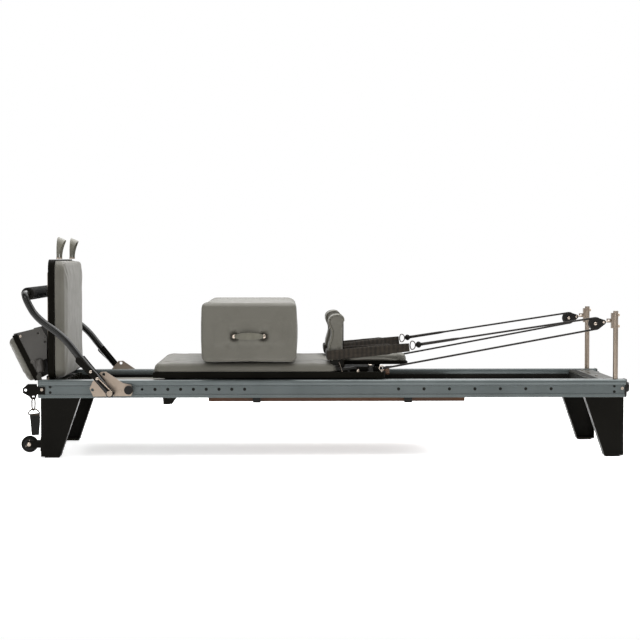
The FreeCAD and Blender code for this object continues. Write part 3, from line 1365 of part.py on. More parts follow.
def build():
    """Make every sub-part."""
    make_rails()
    make_tracks()
    make_head_crossmember()
    make_foot_crossmember()
    make_cross_brace()
    make_end_caps()
    make_legs()
    make_frame_bolts()
    make_boards()
    make_spring_bar()
    make_springs()
    make_riser_posts()
    make_post_eyes()
    make_pulley_blocks()
    make_sheaves()
    make_ropes()
    make_post_knobs()
    make_end_brackets()
    make_hanging_strap()
    make_transport_wheels()
    make_foot_platform()
    make_footbar_plates()
    make_plungers()
    make_footbar()
    make_footbar_latches()
    make_jump_board()
    make_carriage_base()
    make_carriage_cushion()
    make_carriage_wheels()
    make_spring_anchor()
    make_shoulder_rests()
    make_hand_straps()
    make_rope_balls()
    make_rope_fittings()
    make_headrest()
    make_star_knob()
    make_sitting_box()


def check():
    """Stop at any object that failed to compute and at any sub-part without a sound shape."""
    for item in doc.Objects:
        if {"Invalid", "Error"} & set(item.State):
            raise RuntimeError(f"{item.Name} ({item.Label}) failed: {item.State}")
    for item in nodes:
        if item.Shape.isNull() or not item.Shape.isValid() or not item.Shape.Solids:
            raise RuntimeError(f"{item.Label} has no sound shape")


def write():
    """One STEP file for each sub-part."""
    os.makedirs("parts", exist_ok=True)
    for item in nodes:
        item.Shape.exportStep(f"parts/{item.Label}.step")
    print(f"{len(nodes)} sub-parts written")


build()
doc.recompute()
check()
write()
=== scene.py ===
"""Studio model of a pilates reformer: finishes, upholstery, ropes and straps round the fixed frame.

Every piece is in metres in the frame's own axes: +X runs along the rails to the riser end,
+Y across them, +Z up. The foot bar, jump board and sloping platform are at the -X end.
"""

import logging
import math
from collections.abc import Callable, Sequence
from dataclasses import dataclass, field
from enum import Enum

import bpy
import numpy as np
from mathutils import Euler, Matrix, Vector


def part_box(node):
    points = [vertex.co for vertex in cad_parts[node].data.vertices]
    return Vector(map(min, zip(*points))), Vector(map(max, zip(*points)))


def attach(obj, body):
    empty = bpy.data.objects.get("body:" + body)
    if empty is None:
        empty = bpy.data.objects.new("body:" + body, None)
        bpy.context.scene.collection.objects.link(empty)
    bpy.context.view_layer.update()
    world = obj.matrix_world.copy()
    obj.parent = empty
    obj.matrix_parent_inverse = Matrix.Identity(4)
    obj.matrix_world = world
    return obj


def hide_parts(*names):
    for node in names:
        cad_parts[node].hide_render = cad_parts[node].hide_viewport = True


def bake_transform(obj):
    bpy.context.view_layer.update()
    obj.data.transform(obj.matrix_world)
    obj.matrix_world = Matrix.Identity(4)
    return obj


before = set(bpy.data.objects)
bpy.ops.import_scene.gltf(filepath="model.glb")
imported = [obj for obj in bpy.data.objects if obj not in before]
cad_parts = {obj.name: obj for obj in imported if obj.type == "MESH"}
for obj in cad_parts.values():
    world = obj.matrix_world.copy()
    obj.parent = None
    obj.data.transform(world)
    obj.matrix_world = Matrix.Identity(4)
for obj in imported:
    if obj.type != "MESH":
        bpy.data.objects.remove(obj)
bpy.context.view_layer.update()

log = logging.getLogger("reformer")

MM = 0.001
RAIL_SHIFT = 63.5  # from the rails' middle to the middle of the whole machine, mm
X_AXIS, Y_AXIS, Z_AXIS = Vector((1, 0, 0)), Vector((0, 1, 0)), Vector((0, 0, 1))
SIDES = {"near": -1, "far": 1}

Outline = list[tuple[float, float]]
Section = Callable[[float], Sequence[tuple[float, float]]]
Shape = tuple[list[Vector], list[list[int]]]

PLATFORM_LEAN = math.radians(26.5)  # of the foot platform off the upright
STRAP_RISE = math.radians(5.4)  # of the hand straps towards the riser posts
SHARP_FOLD = math.radians(42)  # edges that turn more than this stay crisp
FILLING_FRAMES = 20  # of the cloth simulation that fills a cushion


def at(x: float, y: float, z: float) -> Vector:
    """A point in metres from millimetres measured from the rails' middle."""
    return Vector(((x + RAIL_SHIFT) * MM, y * MM, z * MM))


def span(node: str) -> tuple[Vector, Vector]:
    """A CAD node's lowest and highest corners."""
    low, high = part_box(node)
    return Vector(low), Vector(high)


def around(steps: int) -> list[float]:
    """Angles in even steps round a full turn."""
    return [2 * math.pi * k / steps for k in range(steps)]


def linear(code: str) -> tuple[float, float, float, float]:
    """Turn an sRGB hex colour to linear light.

    Args:
        code: six hex digits after a hash.

    Returns:
        Linear red, green, blue and an alpha of one.
    """
    parts = [int(code[i:i + 2], 16) / 255 for i in (1, 3, 5)]
    lit = [p / 12.92 if p <= 0.04045 else ((p + 0.055) / 1.055) ** 2.4 for p in parts]
    return (lit[0], lit[1], lit[2], 1.0)


def add_node(tree: bpy.types.NodeTree, kind: str, settings: dict | None = None,
             links: dict | None = None) -> bpy.types.Node:
    """Add a node with its settings and incoming links.

    Args:
        tree: the node tree that gets it.
        kind: the node's type name.
        settings: values by socket name or number, or by attribute name.
        links: output sockets by the name or number of the input they feed.

    Returns:
        The new node.
    """
    node = tree.nodes.new(kind)
    for key, value in (settings or {}).items():
        if isinstance(key, str) and key not in node.inputs:
            setattr(node, key, value)
    for key, value in (settings or {}).items():
        if isinstance(key, int) or key in node.inputs:
            node.inputs[key].default_value = value
    for key, socket in (links or {}).items():
        tree.links.new(socket, node.inputs[key])
    return node


class Relief(Enum):
    """The kinds of fine surface shape that a finish can have."""

    PEEL = "the soft orange peel of a sprayed or powder-coated skin"
    GRAIN = "the pebbled cells of leathercloth"
    BRUSHED = "fine parallel lines"
    WOOD = "long pores and rings"
    WEAVE = "crossing threads"
    RIBS = "cross ribs of padded webbing"
    BRAID = "slanting strands"
    CAST = "a fine matt spark-eroded skin"


@dataclass(frozen=True)
class Finish:
    """One real material and how its surface was made."""

    name: str
    colour: str
    tint: str
    relief: Relief
    pitch: float  # mm between the repeats of the relief
    depth: float  # mm of relief
    roughness: float
    spread: float = 0.08
    metallic: float = 0.0
    patch: float = 120.0  # mm across the slow changes of colour
    # colour mixed in along the edges: edge wear, and also a painted highlight that the edges catch
    edge_wear_and_highlight: str = ""
    sheen: float = 0.0
    coat: float = 0.0
    shine: float = 0.5  # specular level; 0.5 is a plain varnish's
    run: tuple = (1.0, 0.0, 0.0)  # direction that lines and grain follow
    slot: str = ""  # name of the record's material slot that this finish matches

    def stretched(self, tree: bpy.types.NodeTree, place: bpy.types.NodeSocket,
                  long: float) -> bpy.types.NodeSocket:
        """Draw out the pattern's space along the run.

        Args:
            tree: the material's tree.
            place: the position socket.
            long: how many times longer a repeat is along the run.

        Returns:
            The stretched position.
        """
        scale = [1 / long if abs(v) > 0.5 else 1.0 for v in self.run]
        return add_node(tree, "ShaderNodeVectorMath", {"operation": "MULTIPLY", 1: scale},
                        {0: place}).outputs[0]

    def height(self, tree: bpy.types.NodeTree, place: bpy.types.NodeSocket) -> bpy.types.NodeSocket:
        """Build the height of the relief.

        Args:
            tree: the material's tree.
            place: the position socket.

        Returns:
            A socket of heights from about 0 to 1.
        """
        scale = 1 / (self.pitch * MM)
        if self.relief is Relief.GRAIN:
            cells = add_node(tree, "ShaderNodeTexVoronoi", {"Scale": scale, "Randomness": 0.9},
                             {"Vector": place})
            creases = add_node(tree, "ShaderNodeTexNoise", {"Scale": scale / 14, "Detail": 4.0},
                               {"Vector": place})
            return add_node(tree, "ShaderNodeMath", {"operation": "MULTIPLY_ADD", 1: 1.3},
                            {0: creases.outputs[0], 2: cells.outputs[0]}).outputs[0]
        if self.relief is Relief.BRUSHED:
            return add_node(tree, "ShaderNodeTexNoise", {"Scale": scale, "Detail": 2.0},
                            {"Vector": self.stretched(tree, place, 40)}).outputs[0]
        if self.relief is Relief.WOOD:
            return add_node(tree, "ShaderNodeTexNoise",
                            {"Scale": scale, "Detail": 6.0, "Roughness": 0.65, "Distortion": 0.6},
                            {"Vector": self.stretched(tree, place, 14)}).outputs[0]
        if self.relief in (Relief.WEAVE, Relief.BRAID, Relief.RIBS):
            lean = 0.0 if self.relief is Relief.RIBS else 1.0
            turned = add_node(tree, "ShaderNodeVectorRotate",
                              {"rotation_type": "Y_AXIS", "Angle": math.radians(45 * lean)},
                              {"Vector": place}).outputs[0]
            warp, weft = (add_node(tree, "ShaderNodeTexWave",
                                   {"bands_direction": axis, "Scale": scale * 0.16,
                                    "Distortion": 0.4, "Detail": 1.0},
                                   {"Vector": turned}).outputs["Fac"] for axis in ("X", "Z"))
            share = 0.35 if self.relief is Relief.RIBS else 1.0
            crossing = add_node(tree, "ShaderNodeMath", {"operation": "MULTIPLY", 1: share},
                                {0: weft}).outputs[0]
            return add_node(tree, "ShaderNodeMath", {"operation": "ADD"},
                            {0: warp, 1: crossing}).outputs[0]
        detail = 3.0 if self.relief is Relief.CAST else 1.0
        return add_node(tree, "ShaderNodeTexNoise", {"Scale": scale, "Detail": detail},
                        {"Vector": place}).outputs[0]

    def paint(self, tree: bpy.types.NodeTree, place: bpy.types.NodeSocket,
              height: bpy.types.NodeSocket) -> bpy.types.NodeSocket:
        """Build the colour, its slow changes and its paler edges, which stand for edge wear and are also a
        painted highlight.

        Args:
            tree: the material's tree.
            place: the position socket.
            height: the relief's height.

        Returns:
            The colour socket.
        """
        wide = self.relief is Relief.WOOD
        slow = add_node(tree, "ShaderNodeTexNoise", {"Scale": 1 / (self.patch * MM), "Detail": 3.0},
                        {"Vector": self.stretched(tree, place, 6) if wide else place}).outputs[0]
        mixed = add_node(tree, "ShaderNodeMath", {"operation": "MULTIPLY_ADD", 1: 0.35},
                         {0: height, 2: slow}).outputs[0]
        share = add_node(tree, "ShaderNodeMapRange",
                         {"From Min": 0.42, "From Max": 0.95, "To Min": 0.0, "To Max": 1.0},
                         {"Value": mixed}).outputs[0]
        colour = add_node(tree, "ShaderNodeMix",
                          {"data_type": "RGBA", 6: linear(self.colour), 7: linear(self.tint)},
                          {0: share}).outputs[2]
        if not self.edge_wear_and_highlight:
            return colour
        # the paler edges, found from the bevel normal, are edge wear and also a painted highlight
        soft = add_node(tree, "ShaderNodeBevel", {"samples": 4, "Radius": 1.6 * MM}).outputs[0]
        flat = add_node(tree, "ShaderNodeNewGeometry").outputs["Normal"]
        turn = add_node(tree, "ShaderNodeVectorMath", {"operation": "DOT_PRODUCT"},
                        {0: soft, 1: flat}).outputs["Value"]
        edge = add_node(tree, "ShaderNodeMapRange",
                        {"From Min": 0.985, "From Max": 0.86, "To Min": 0.0, "To Max": 0.7},
                        {"Value": turn}).outputs[0]
        return add_node(tree, "ShaderNodeMix", {"data_type": "RGBA", 7: linear(self.edge_wear_and_highlight)},
                        {0: edge, 6: colour}).outputs[2]

    def material(self) -> bpy.types.Material:
        """Build the material once and hand out the same one afterwards.

        Returns:
            The node-based material.
        """
        known = bpy.data.materials.get(self.name)
        if known:
            return known
        made = bpy.data.materials.new(self.name)
        made.use_nodes = True
        tree = made.node_tree
        tree.nodes.clear()
        place = add_node(tree, "ShaderNodeTexCoord").outputs["Object"]
        height = self.height(tree, place)
        patchy = add_node(tree, "ShaderNodeTexNoise",
                          {"Scale": 1 / (0.3 * self.patch * MM), "Detail": 4.0},
                          {"Vector": place}).outputs[0]
        gloss = add_node(tree, "ShaderNodeMapRange",
                         {"From Min": 0.3, "From Max": 0.7,
                          "To Min": max(0.04, self.roughness - self.spread),
                          "To Max": min(1.0, self.roughness + self.spread)},
                         {"Value": patchy}).outputs[0]
        bump = add_node(tree, "ShaderNodeBump", {"Strength": 0.6, "Distance": self.depth * MM},
                        {"Height": height}).outputs[0]
        shader = add_node(tree, "ShaderNodeBsdfPrincipled",
                          {"Metallic": self.metallic, "Sheen Weight": self.sheen,
                           "Sheen Roughness": 0.5, "Specular IOR Level": self.shine,
                           "Coat Weight": self.coat, "Coat Roughness": 0.15},
                          {"Base Color": self.paint(tree, place, height), "Roughness": gloss,
                           "Normal": bump})
        add_node(tree, "ShaderNodeOutputMaterial", None, {"Surface": shader.outputs[0]})
        made.diffuse_color = linear(self.colour)
        return made

    def dress(self, *nodes: str) -> None:
        """Give this finish to CAD nodes by name."""
        for node in nodes:
            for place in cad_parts[node].material_slots:
                place.material = self.material()


# Peels, brushed lines and moulded skins repeat within about half a millimetre in life. They are drawn
# at 0.8 to 4 mm here, so that they show at the size the machine is seen.

# Extruded aluminium with a satin powder coat: an even blue-grey skin with a soft, broad highlight.
RAIL_PAINT = Finish("powder_coated_aluminium", "#414747", "#4b5151", Relief.PEEL, 3.0, 0.004, 0.3,
                    spread=0.02, metallic=0.35, edge_wear_and_highlight="#6e7371", shine=0.4, slot="rail_finish")
# Black anodised extrusion: a dark metal with faint drawing lines along it.
TRACK_METAL = Finish("black_anodised_aluminium", "#26272a", "#303134", Relief.BRUSHED, 1.2, 0.02, 0.34,
                     metallic=1.0)
# Sheet steel with a grey powder coat: warmer and flatter than the rails.
GREY_STEEL = Finish("grey_powder_coated_steel", "#312f2c", "#3a3835", Relief.PEEL, 3.0, 0.03, 0.42,
                    metallic=0.2, edge_wear_and_highlight="#6a6761", shine=0.3, slot="grey_steel")
# Folded steel of the cross beams, its charcoal coat a shade darker than the sheet parts.
CHARCOAL_STEEL = Finish("charcoal_powder_coated_steel", "#2b2a25", "#353430", Relief.PEEL, 3.0, 0.02,
                        0.44, metallic=0.2, edge_wear_and_highlight="#55534b", shine=0.25)
# Sheet and tube steel with a black textured powder coat: a dark skin with little shine of its own, its
# edges painted paler as a highlight.
BLACK_STEEL = Finish("black_powder_coated_steel", "#070604", "#0c0b08", Relief.PEEL, 2.0, 0.05, 0.4,
                     edge_wear_and_highlight="#39332a", shine=0.04, slot="black_steel")
# Bent tube with a gloss black coat: long bright lines down the bends.
GLOSS_STEEL = Finish("gloss_black_painted_steel", "#060604", "#0b0b09", Relief.PEEL, 4.0, 0.015, 0.24,
                     spread=0.05, edge_wear_and_highlight="#1c1a16", coat=0.08, shine=0.2, slot="black_steel")
# Brushed stainless: a warm grey metal with fine lines.
STAINLESS = Finish("brushed_stainless_steel", "#84786c", "#8c8074", Relief.BRUSHED, 3.0, 0.004, 0.3,
                   spread=0.03, metallic=1.0, run=(0.0, 0.0, 1.0), slot="stainless")
# Polished stainless of bolts and rings: near mirrors, a little warm.
BRIGHT = Finish("polished_stainless_steel", "#988d82", "#a89d92", Relief.BRUSHED, 0.8, 0.01, 0.16,
                spread=0.05, metallic=1.0, slot="stainless")
# Burnished nickel wire of rings and links: darker than the bolts, with a soft gleam.
NICKEL = Finish("burnished_nickel_wire", "#2f2924", "#3e362f", Relief.BRUSHED, 1.5, 0.01, 0.28,
                spread=0.05, metallic=1.0, slot="stainless")
# Oiled spring wire: dark metal with thin bright lines.
SPRING = Finish("oiled_spring_steel", "#3b3a38", "#565452", Relief.BRUSHED, 3.0, 0.01, 0.3,
                metallic=1.0, slot="spring_steel")
# Moulded ABS: dark, with a fine even spark-eroded skin.
BLACK_ABS = Finish("moulded_black_abs", "#0e0d0c", "#161513", Relief.CAST, 1.6, 0.04, 0.42,
                   edge_wear_and_highlight="#34312d", shine=0.12, slot="black_plastic")
# Moulded nylon with a copper metallic flake: a pinkish soft lustre.
COPPER_NYLON = Finish("copper_coloured_nylon", "#c8a38b", "#d5b39c", Relief.CAST, 1.6, 0.03, 0.38,
                      metallic=0.1)
# Moulded rubber: black, matt, a little dusty.
RUBBER = Finish("moulded_rubber", "#0b0b09", "#151411", Relief.CAST, 1.4, 0.06, 0.66, shine=0.06,
                slot="black_plastic")
# Closed-cell foam sleeve: dead matt black with a fine open skin.
FOAM = Finish("closed_cell_foam", "#0c0c0a", "#131210", Relief.CAST, 1.8, 0.12, 0.82, sheen=0.02,
              shine=0.05, slot="black_plastic")
# High-pressure laminate: a beige-grey board with a pale drawn grain.
LAMINATE = Finish("high_pressure_laminate", "#56544c", "#66635a", Relief.WOOD, 5.0, 0.02, 0.4, patch=90,
                  shine=0.3)
# Oiled walnut: brown with darker rings along the board.
WALNUT = Finish("oiled_walnut", "#231103", "#44250a", Relief.WOOD, 4.0, 0.05, 0.5, patch=60,
                edge_wear_and_highlight="#6a4220", shine=0.25)
# Black-faced birch ply: a satin black film, its edges painted paler as a highlight.
BLACK_BOARD = Finish("black_faced_plywood", "#090806", "#100f0c", Relief.CAST, 2.4, 0.04, 0.42,
                     edge_wear_and_highlight="#24221f", shine=0.01, slot="black_board")
# Grey polyurethane leathercloth: a matt, slightly olive grey with a pebbled grain. The pebbles are
# 1 mm in life and are drawn at 2.6 mm so that they show.
LEATHERCLOTH = Finish("grey_pu_leathercloth", "#43413a", "#4d4b44", Relief.GRAIN, 2.6, 0.16, 0.54,
                      spread=0.07, patch=160, sheen=0.08, shine=0.24, slot="grey_vinyl")
# The same cloth over the loops and handles, cut as a strap: a shade warmer where it is handled.
STRAP_LEATHER = Finish("grey_leathercloth_strap", "#444238", "#525047", Relief.GRAIN, 2.0, 0.12, 0.46,
                       patch=30, sheen=0.03, shine=0.25, slot="grey_vinyl")
# Woven polypropylene webbing: black with a slight shine on its threads, about 2 mm apart.
WEBBING = Finish("woven_black_webbing", "#090807", "#131210", Relief.WEAVE, 2.4, 0.35, 0.6, patch=24,
                 sheen=0.02, shine=0.1, slot="black_webbing")
# Padded sleeve of brushed nylon, gathered into cross ribs about 9 mm apart.
PADDED_NYLON = Finish("padded_brushed_nylon", "#16130f", "#26211b", Relief.RIBS, 9.0, 0.4, 0.66,
                      patch=18, sheen=0.06, shine=0.1, slot="black_webbing")
# Braided polyester cord: black with slanting strands; 1.5 mm in life, drawn at 3 mm.
CORD = Finish("braided_polyester_cord", "#131210", "#221f1d", Relief.BRAID, 3.0, 0.4, 0.58, patch=10,
              sheen=0.04, shine=0.1, slot="black_rope")


def placed(name: str, data: bpy.types.ID) -> bpy.types.Object:
    """Put a new object into the scene."""
    thing = bpy.data.objects.new(name, data)
    bpy.context.scene.collection.objects.link(thing)
    return thing


def new_piece(name: str, shape: Shape, finish: Finish, body: str | None = None) -> bpy.types.Object:
    """Make a mesh piece, dress it, and put it on a body.

    Args:
        name: the piece's name.
        shape: its vertices in metres and its faces.
        finish: what it is made of.
        body: the body that carries it, or None for a piece that gets its body later.

    Returns:
        The new object.
    """
    vertices, faces = shape
    mesh = bpy.data.meshes.new(name)
    mesh.from_pydata([tuple(v) for v in vertices], [], [tuple(f) for f in faces])
    mesh.validate()
    mesh.update()
    for polygon in mesh.polygons:
        polygon.use_smooth = True
    mesh.set_sharp_from_angle(angle=SHARP_FOLD)
    piece = placed(name, mesh)
    mesh.materials.append(finish.material())
    if body:
        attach(piece, body)
    log.info("%s: %d points", name, len(mesh.vertices))
    return piece


def skin(rings: Sequence[Sequence[Vector]], closed: bool = False) -> Shape:
    """Join rings of points into a skin, with flat ends unless it closes on itself.

    Args:
        rings: outlines with the same number of points each.
        closed: whether the last ring joins the first.

    Returns:
        Vertices and faces.
    """
    size, count = len(rings[0]), len(rings)
    faces = []
    for i in range(count if closed else count - 1):
        here, there = i * size, (i + 1) % count * size
        for k in range(size):
            n = (k + 1) % size
            faces.append([here + k, here + n, there + n, there + k])
    if not closed:
        faces.append(list(range(size))[::-1])
        faces.append(list(range((count - 1) * size, count * size)))
    return [v for ring in rings for v in ring], faces


def swept(path: Sequence[Vector], section: Section, across: Vector | None = None,
          closed: bool = False) -> Shape:
    """Carry a cross-section along a path.

    Args:
        path: the points it follows.
        section: gives the outline's points at a share of the path from 0 to 1.
        across: the direction of the outline's first axis, or None to let it roll freely.
        closed: whether the path returns to its start.

    Returns:
        Vertices and faces.
    """
    count = len(path)
    rings = []
    side = across
    for i, point in enumerate(path):
        after = path[(i + 1) % count] if closed or i + 1 < count else point
        before = path[i - 1] if closed or i else point
        tangent = (after - before).normalized()
        if side is None:
            side = tangent.orthogonal().normalized()
        base = across if across is not None else side
        side = (base - tangent * base.dot(tangent)).normalized()
        out = tangent.cross(side)
        rings.append([point + side * a + out * b for a, b in section(i / max(1, count - 1))])
    return skin(rings, closed)


def circle(radius: float, sides: int = 12) -> Outline:
    """Points of a circle, as a section's outline."""
    return [(radius * math.cos(a), radius * math.sin(a)) for a in around(sides)]


def wire(radius: float, sides: int = 10) -> Section:
    """A round section that stays the same all along."""
    return lambda t: circle(radius, sides)


def band(width: float, thick: float, sides: int = 16, square: float = 3.0) -> Outline:
    """Outline of a flat strap with rounded edges.

    Args:
        width: across the strap, m.
        thick: through it, m.
        sides: points round it.
        square: 2 gives an ellipse, more gives fuller corners.

    Returns:
        The outline's points.
    """
    points = []
    for k in range(sides):
        angle = 2 * math.pi * (k + 0.5) / sides
        c, s = math.cos(angle), math.sin(angle)
        points.append((width / 2 * math.copysign(abs(c) ** (2 / square), c),
                       thick / 2 * math.copysign(abs(s) ** (2 / square), s)))
    return points


def strip(width: float, thick: float, sides: int = 12, square: float = 6.0) -> Section:
    """A flat section that stays the same all along."""
    return lambda t: band(width, thick, sides, square)


def half_round(wide: float, high: float, steps: int) -> Section:
    """A half-round section, flat below, that stays the same all along."""
    bow = [(wide * math.cos(math.pi * k / steps), high * math.sin(math.pi * k / steps))
           for k in range(steps + 1)]
    return lambda t: bow


def turned(profile: Sequence[tuple[float, float]], centre: Vector, axis: Vector,
           sides: int = 28) -> Shape:
    """Turn a profile on a lathe.

    Args:
        profile: (distance along the axis, radius) points, ends closed by flat faces.
        centre: where the axis starts.
        axis: its direction.
        sides: steps round it.

    Returns:
        Vertices and faces.
    """
    axis = axis.normalized()
    a = axis.orthogonal().normalized()
    b = axis.cross(a)
    return skin([[centre + axis * along + a * x + b * y for x, y in circle(max(radius, 1e-5), sides)]
                 for along, radius in profile])


def joined(*parts: Shape) -> Shape:
    """Put several shapes' vertices and faces into one."""
    vertices, faces = [], []
    for part_vertices, part_faces in parts:
        shift = len(vertices)
        vertices += part_vertices
        faces += [[v + shift for v in f] for f in part_faces]
    return vertices, faces


def straight(start: Vector, end: Vector, steps: int = 8) -> list[Vector]:
    """Evenly spaced points from one place to another."""
    return [start.lerp(end, k / steps) for k in range(steps + 1)]


def bar(name: str, ends: tuple[Vector, Vector], section: Section, across: Vector, finish: Finish,
        body: str, steps: int = 8) -> bpy.types.Object:
    """Make a straight piece with one section along it.

    Args:
        name: the piece's name.
        ends: where its middle line starts and ends.
        section: gives its outline.
        across: the direction of the outline's first axis.
        finish: what it is made of.
        body: the body that carries it.
        steps: stretches along it.

    Returns:
        The new object.
    """
    return new_piece(name, swept(straight(*ends, steps), section, across), finish, body)


def bolt(name: str, centre: Vector, axis: Vector, radius: float, body: str,
         finish: Finish = BRIGHT) -> None:
    """A button-head bolt with a hex socket.

    Args:
        name: the piece's name.
        centre: where its head sits.
        axis: the way it faces.
        radius: of its head, m.
        body: what carries it.
        finish: what it is made of.
    """
    r = radius
    new_piece(name, turned([(-0.0006, r), (0.18 * r, r), (0.42 * r, 0.86 * r), (0.55 * r, 0.62 * r),
                            (0.58 * r, 0.42 * r), (0.30 * r, 0.38 * r)], centre, axis, 24),
              finish, body)


def rounded(low: Vector, high: Vector, reach: float, radius: float, steps: int) -> Outline:
    """A rectangle's outline with rounded corners.

    Args:
        low: its lowest corner; only x and y count.
        high: its highest corner.
        reach: how far inside the rectangle the corners' centres lie, m.
        radius: of the corners, m.
        steps: lines in each corner.

    Returns:
        The outline's points.
    """
    points = []
    for quarter, (x, y) in enumerate(((high.x - reach, high.y - reach), (low.x + reach, high.y - reach),
                                      (low.x + reach, low.y + reach), (high.x - reach, low.y + reach))):
        for k in range(steps + 1):
            a = math.pi / 2 * (quarter + k / steps)
            points.append((x + radius * math.cos(a), y + radius * math.sin(a)))
    return points


def spline_points(name: str, controls: Sequence[Vector], steps: int = 24) -> list[Vector]:
    """Read the line of a smooth spline through its control points.

    Args:
        name: a name for the temporary curve.
        controls: the route's points.
        steps: points per stretch.

    Returns:
        The points along the spline.
    """
    curve = bpy.data.curves.new(name, "CURVE")
    curve.dimensions = "3D"
    curve.resolution_u = steps
    spline = curve.splines.new("NURBS")
    spline.points.add(len(controls) - 1)
    for target, point in zip(spline.points, controls):
        target.co = (*point, 1.0)
    spline.order_u = 3
    spline.use_endpoint_u = True
    holder = bpy.data.objects.new(name, curve)
    mesh = bpy.data.meshes.new_from_object(holder)
    points = [v.co.copy() for v in mesh.vertices]
    bpy.data.objects.remove(holder)
    bpy.data.curves.remove(curve)
    bpy.data.meshes.remove(mesh)
    return points


@dataclass
class Studio:
    """The camera, the pale floor and the soft lights."""

    eye: Vector = field(default_factory=lambda: Vector((-0.1305, -6.83, 0.782)))
    pitch: float = 2.15
    yaw: float = 1.25
    lens: float = 93.7
    floor_half: float = 3.4
    glow: float = 0.45
    dim: float = 0.6  # brightness of the room in front of the machine; behind it is 1

    def camera(self) -> None:
        """Place the camera."""
        data = bpy.data.cameras.new("camera")
        data.lens = self.lens
        data.sensor_width = 36
        data.clip_end = 60
        camera = placed("camera", data)
        camera.location = self.eye
        camera.rotation_euler = Euler((math.radians(90 - self.pitch), 0, -math.radians(self.yaw)))
        bpy.context.scene.camera = camera

    def floor(self) -> None:
        """Lay a white sweep of painted board under the machine."""
        h = self.floor_half
        mesh = bpy.data.meshes.new("floor")
        mesh.from_pydata([(-h, -h, 0), (h, -h, 0), (h, h, 0), (-h, h, 0)], [], [(0, 1, 2, 3)])
        floor = placed("floor", mesh)
        white = Finish("matt_white_studio_paint", "#f0f0f0", "#f4f4f4", Relief.CAST, 20.0, 0.01, 0.9,
                       patch=900).material()
        # the board is lit a little from below, as a glazed table is, so the shadow stays pale
        shader = white.node_tree.nodes["Principled BSDF"]
        shader.inputs["Emission Color"].default_value = (1.0, 1.0, 1.0, 1.0)
        shader.inputs["Emission Strength"].default_value = self.glow
        mesh.materials.append(white)

    def light(self, name: str, place: Vector, aim: Vector, size: tuple[float, float],
              watts: float) -> None:
        """Hang one softbox.

        Args:
            name: the light's name.
            place: where it hangs.
            aim: the point it faces.
            size: its width and height, m.
            watts: its power.
        """
        data = bpy.data.lights.new(name, "AREA")
        data.shape = "RECTANGLE"
        data.size, data.size_y = size
        data.energy = watts
        light = placed(name, data)
        light.location = place
        light.rotation_euler = (aim - place).to_track_quat("-Z", "Y").to_euler()

    def build(self) -> None:
        """Build the whole studio."""
        self.camera()
        self.floor()
        middle = Vector((0, 0, 0.4))
        self.light("top_softbox", Vector((0.4, 0.6, 3.6)), middle, (7.0, 5.0), 520)
        self.light("front_softbox", Vector((-2.2, -4.8, 1.9)), middle, (4.2, 1.8), 88)
        self.light("side_softbox", Vector((4.6, -1.6, 2.2)), middle, (1.2, 2.4), 30)
        world = bpy.data.worlds.new("studio_air")
        world.use_nodes = True
        tree = world.node_tree
        tree.nodes.clear()
        # the room is white behind the machine and dimmer in front, which keeps the blacks deep
        aim = add_node(tree, "ShaderNodeTexCoord").outputs["Generated"]
        across = add_node(tree, "ShaderNodeSeparateXYZ", None, {0: aim}).outputs["Y"]
        level = add_node(tree, "ShaderNodeMapRange",
                         {"From Min": -0.3, "From Max": 0.75, "To Min": self.dim, "To Max": 1.0},
                         {"Value": across}).outputs[0]
        air = add_node(tree, "ShaderNodeBackground", {"Color": (1.0, 1.0, 1.0, 1.0)},
                       {"Strength": level})
        add_node(tree, "ShaderNodeOutputWorld", None, {"Surface": air.outputs[0]})
        bpy.context.scene.world = world
        bpy.context.scene.view_settings.view_transform = "Standard"
        log.info("studio built")


@dataclass
class Ropes:
    """The two pulley ropes, from the balls round the sheaves to the carriage's eye bolts."""

    diameter: float = 0.007
    length: float = 1.6
    fullness: float = 1.1  # a braid lies a little fuller than its nominal size
    yaw: float = 0.01745  # how far each rope closes in on the middle per mm of run
    sheave_x: float = 1030.0
    sheave_y: float = 307.5
    sleeve_length: float = 0.155
    # x and z in mm from the ball, round the sheave's circle and back to the eye bolt
    route: tuple = ((347.6, 441.2), (1004.9, 540.5), (1048.5, 547.1), (1055.6, 504.4),
                    (1012.4, 496.4), (203.0, 347.0))

    def controls(self, side: int) -> list[Vector]:
        """The route's points on one side of the machine."""
        return [at(x, side * (self.sheave_y - self.yaw * (self.sheave_x - x)), z)
                for x, z in self.route]

    def build(self) -> None:
        """Build each rope with its spliced sleeve."""
        for label, side in SIDES.items():
            line = spline_points("rope_route", self.controls(side), 40)
            radius = self.diameter / 2 * self.fullness
            # the sleeve swallows the first part of the rope and tapers on to it
            reach = next(i for i, p in enumerate(line) if (p - line[0]).length > self.sleeve_length)
            sleeve = new_piece(f"rope_sleeve_{label}", swept(
                line[:reach], lambda t: circle(0.0062 - 0.0008 * t - 0.014 * max(0.0, t - 0.9))), CORD)
            rope = new_piece(f"pulley_rope_{label}", swept(line, wire(radius, 12)), CORD)
            for piece in (rope, sleeve):
                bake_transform(piece)
            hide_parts(f"rope_{label}")


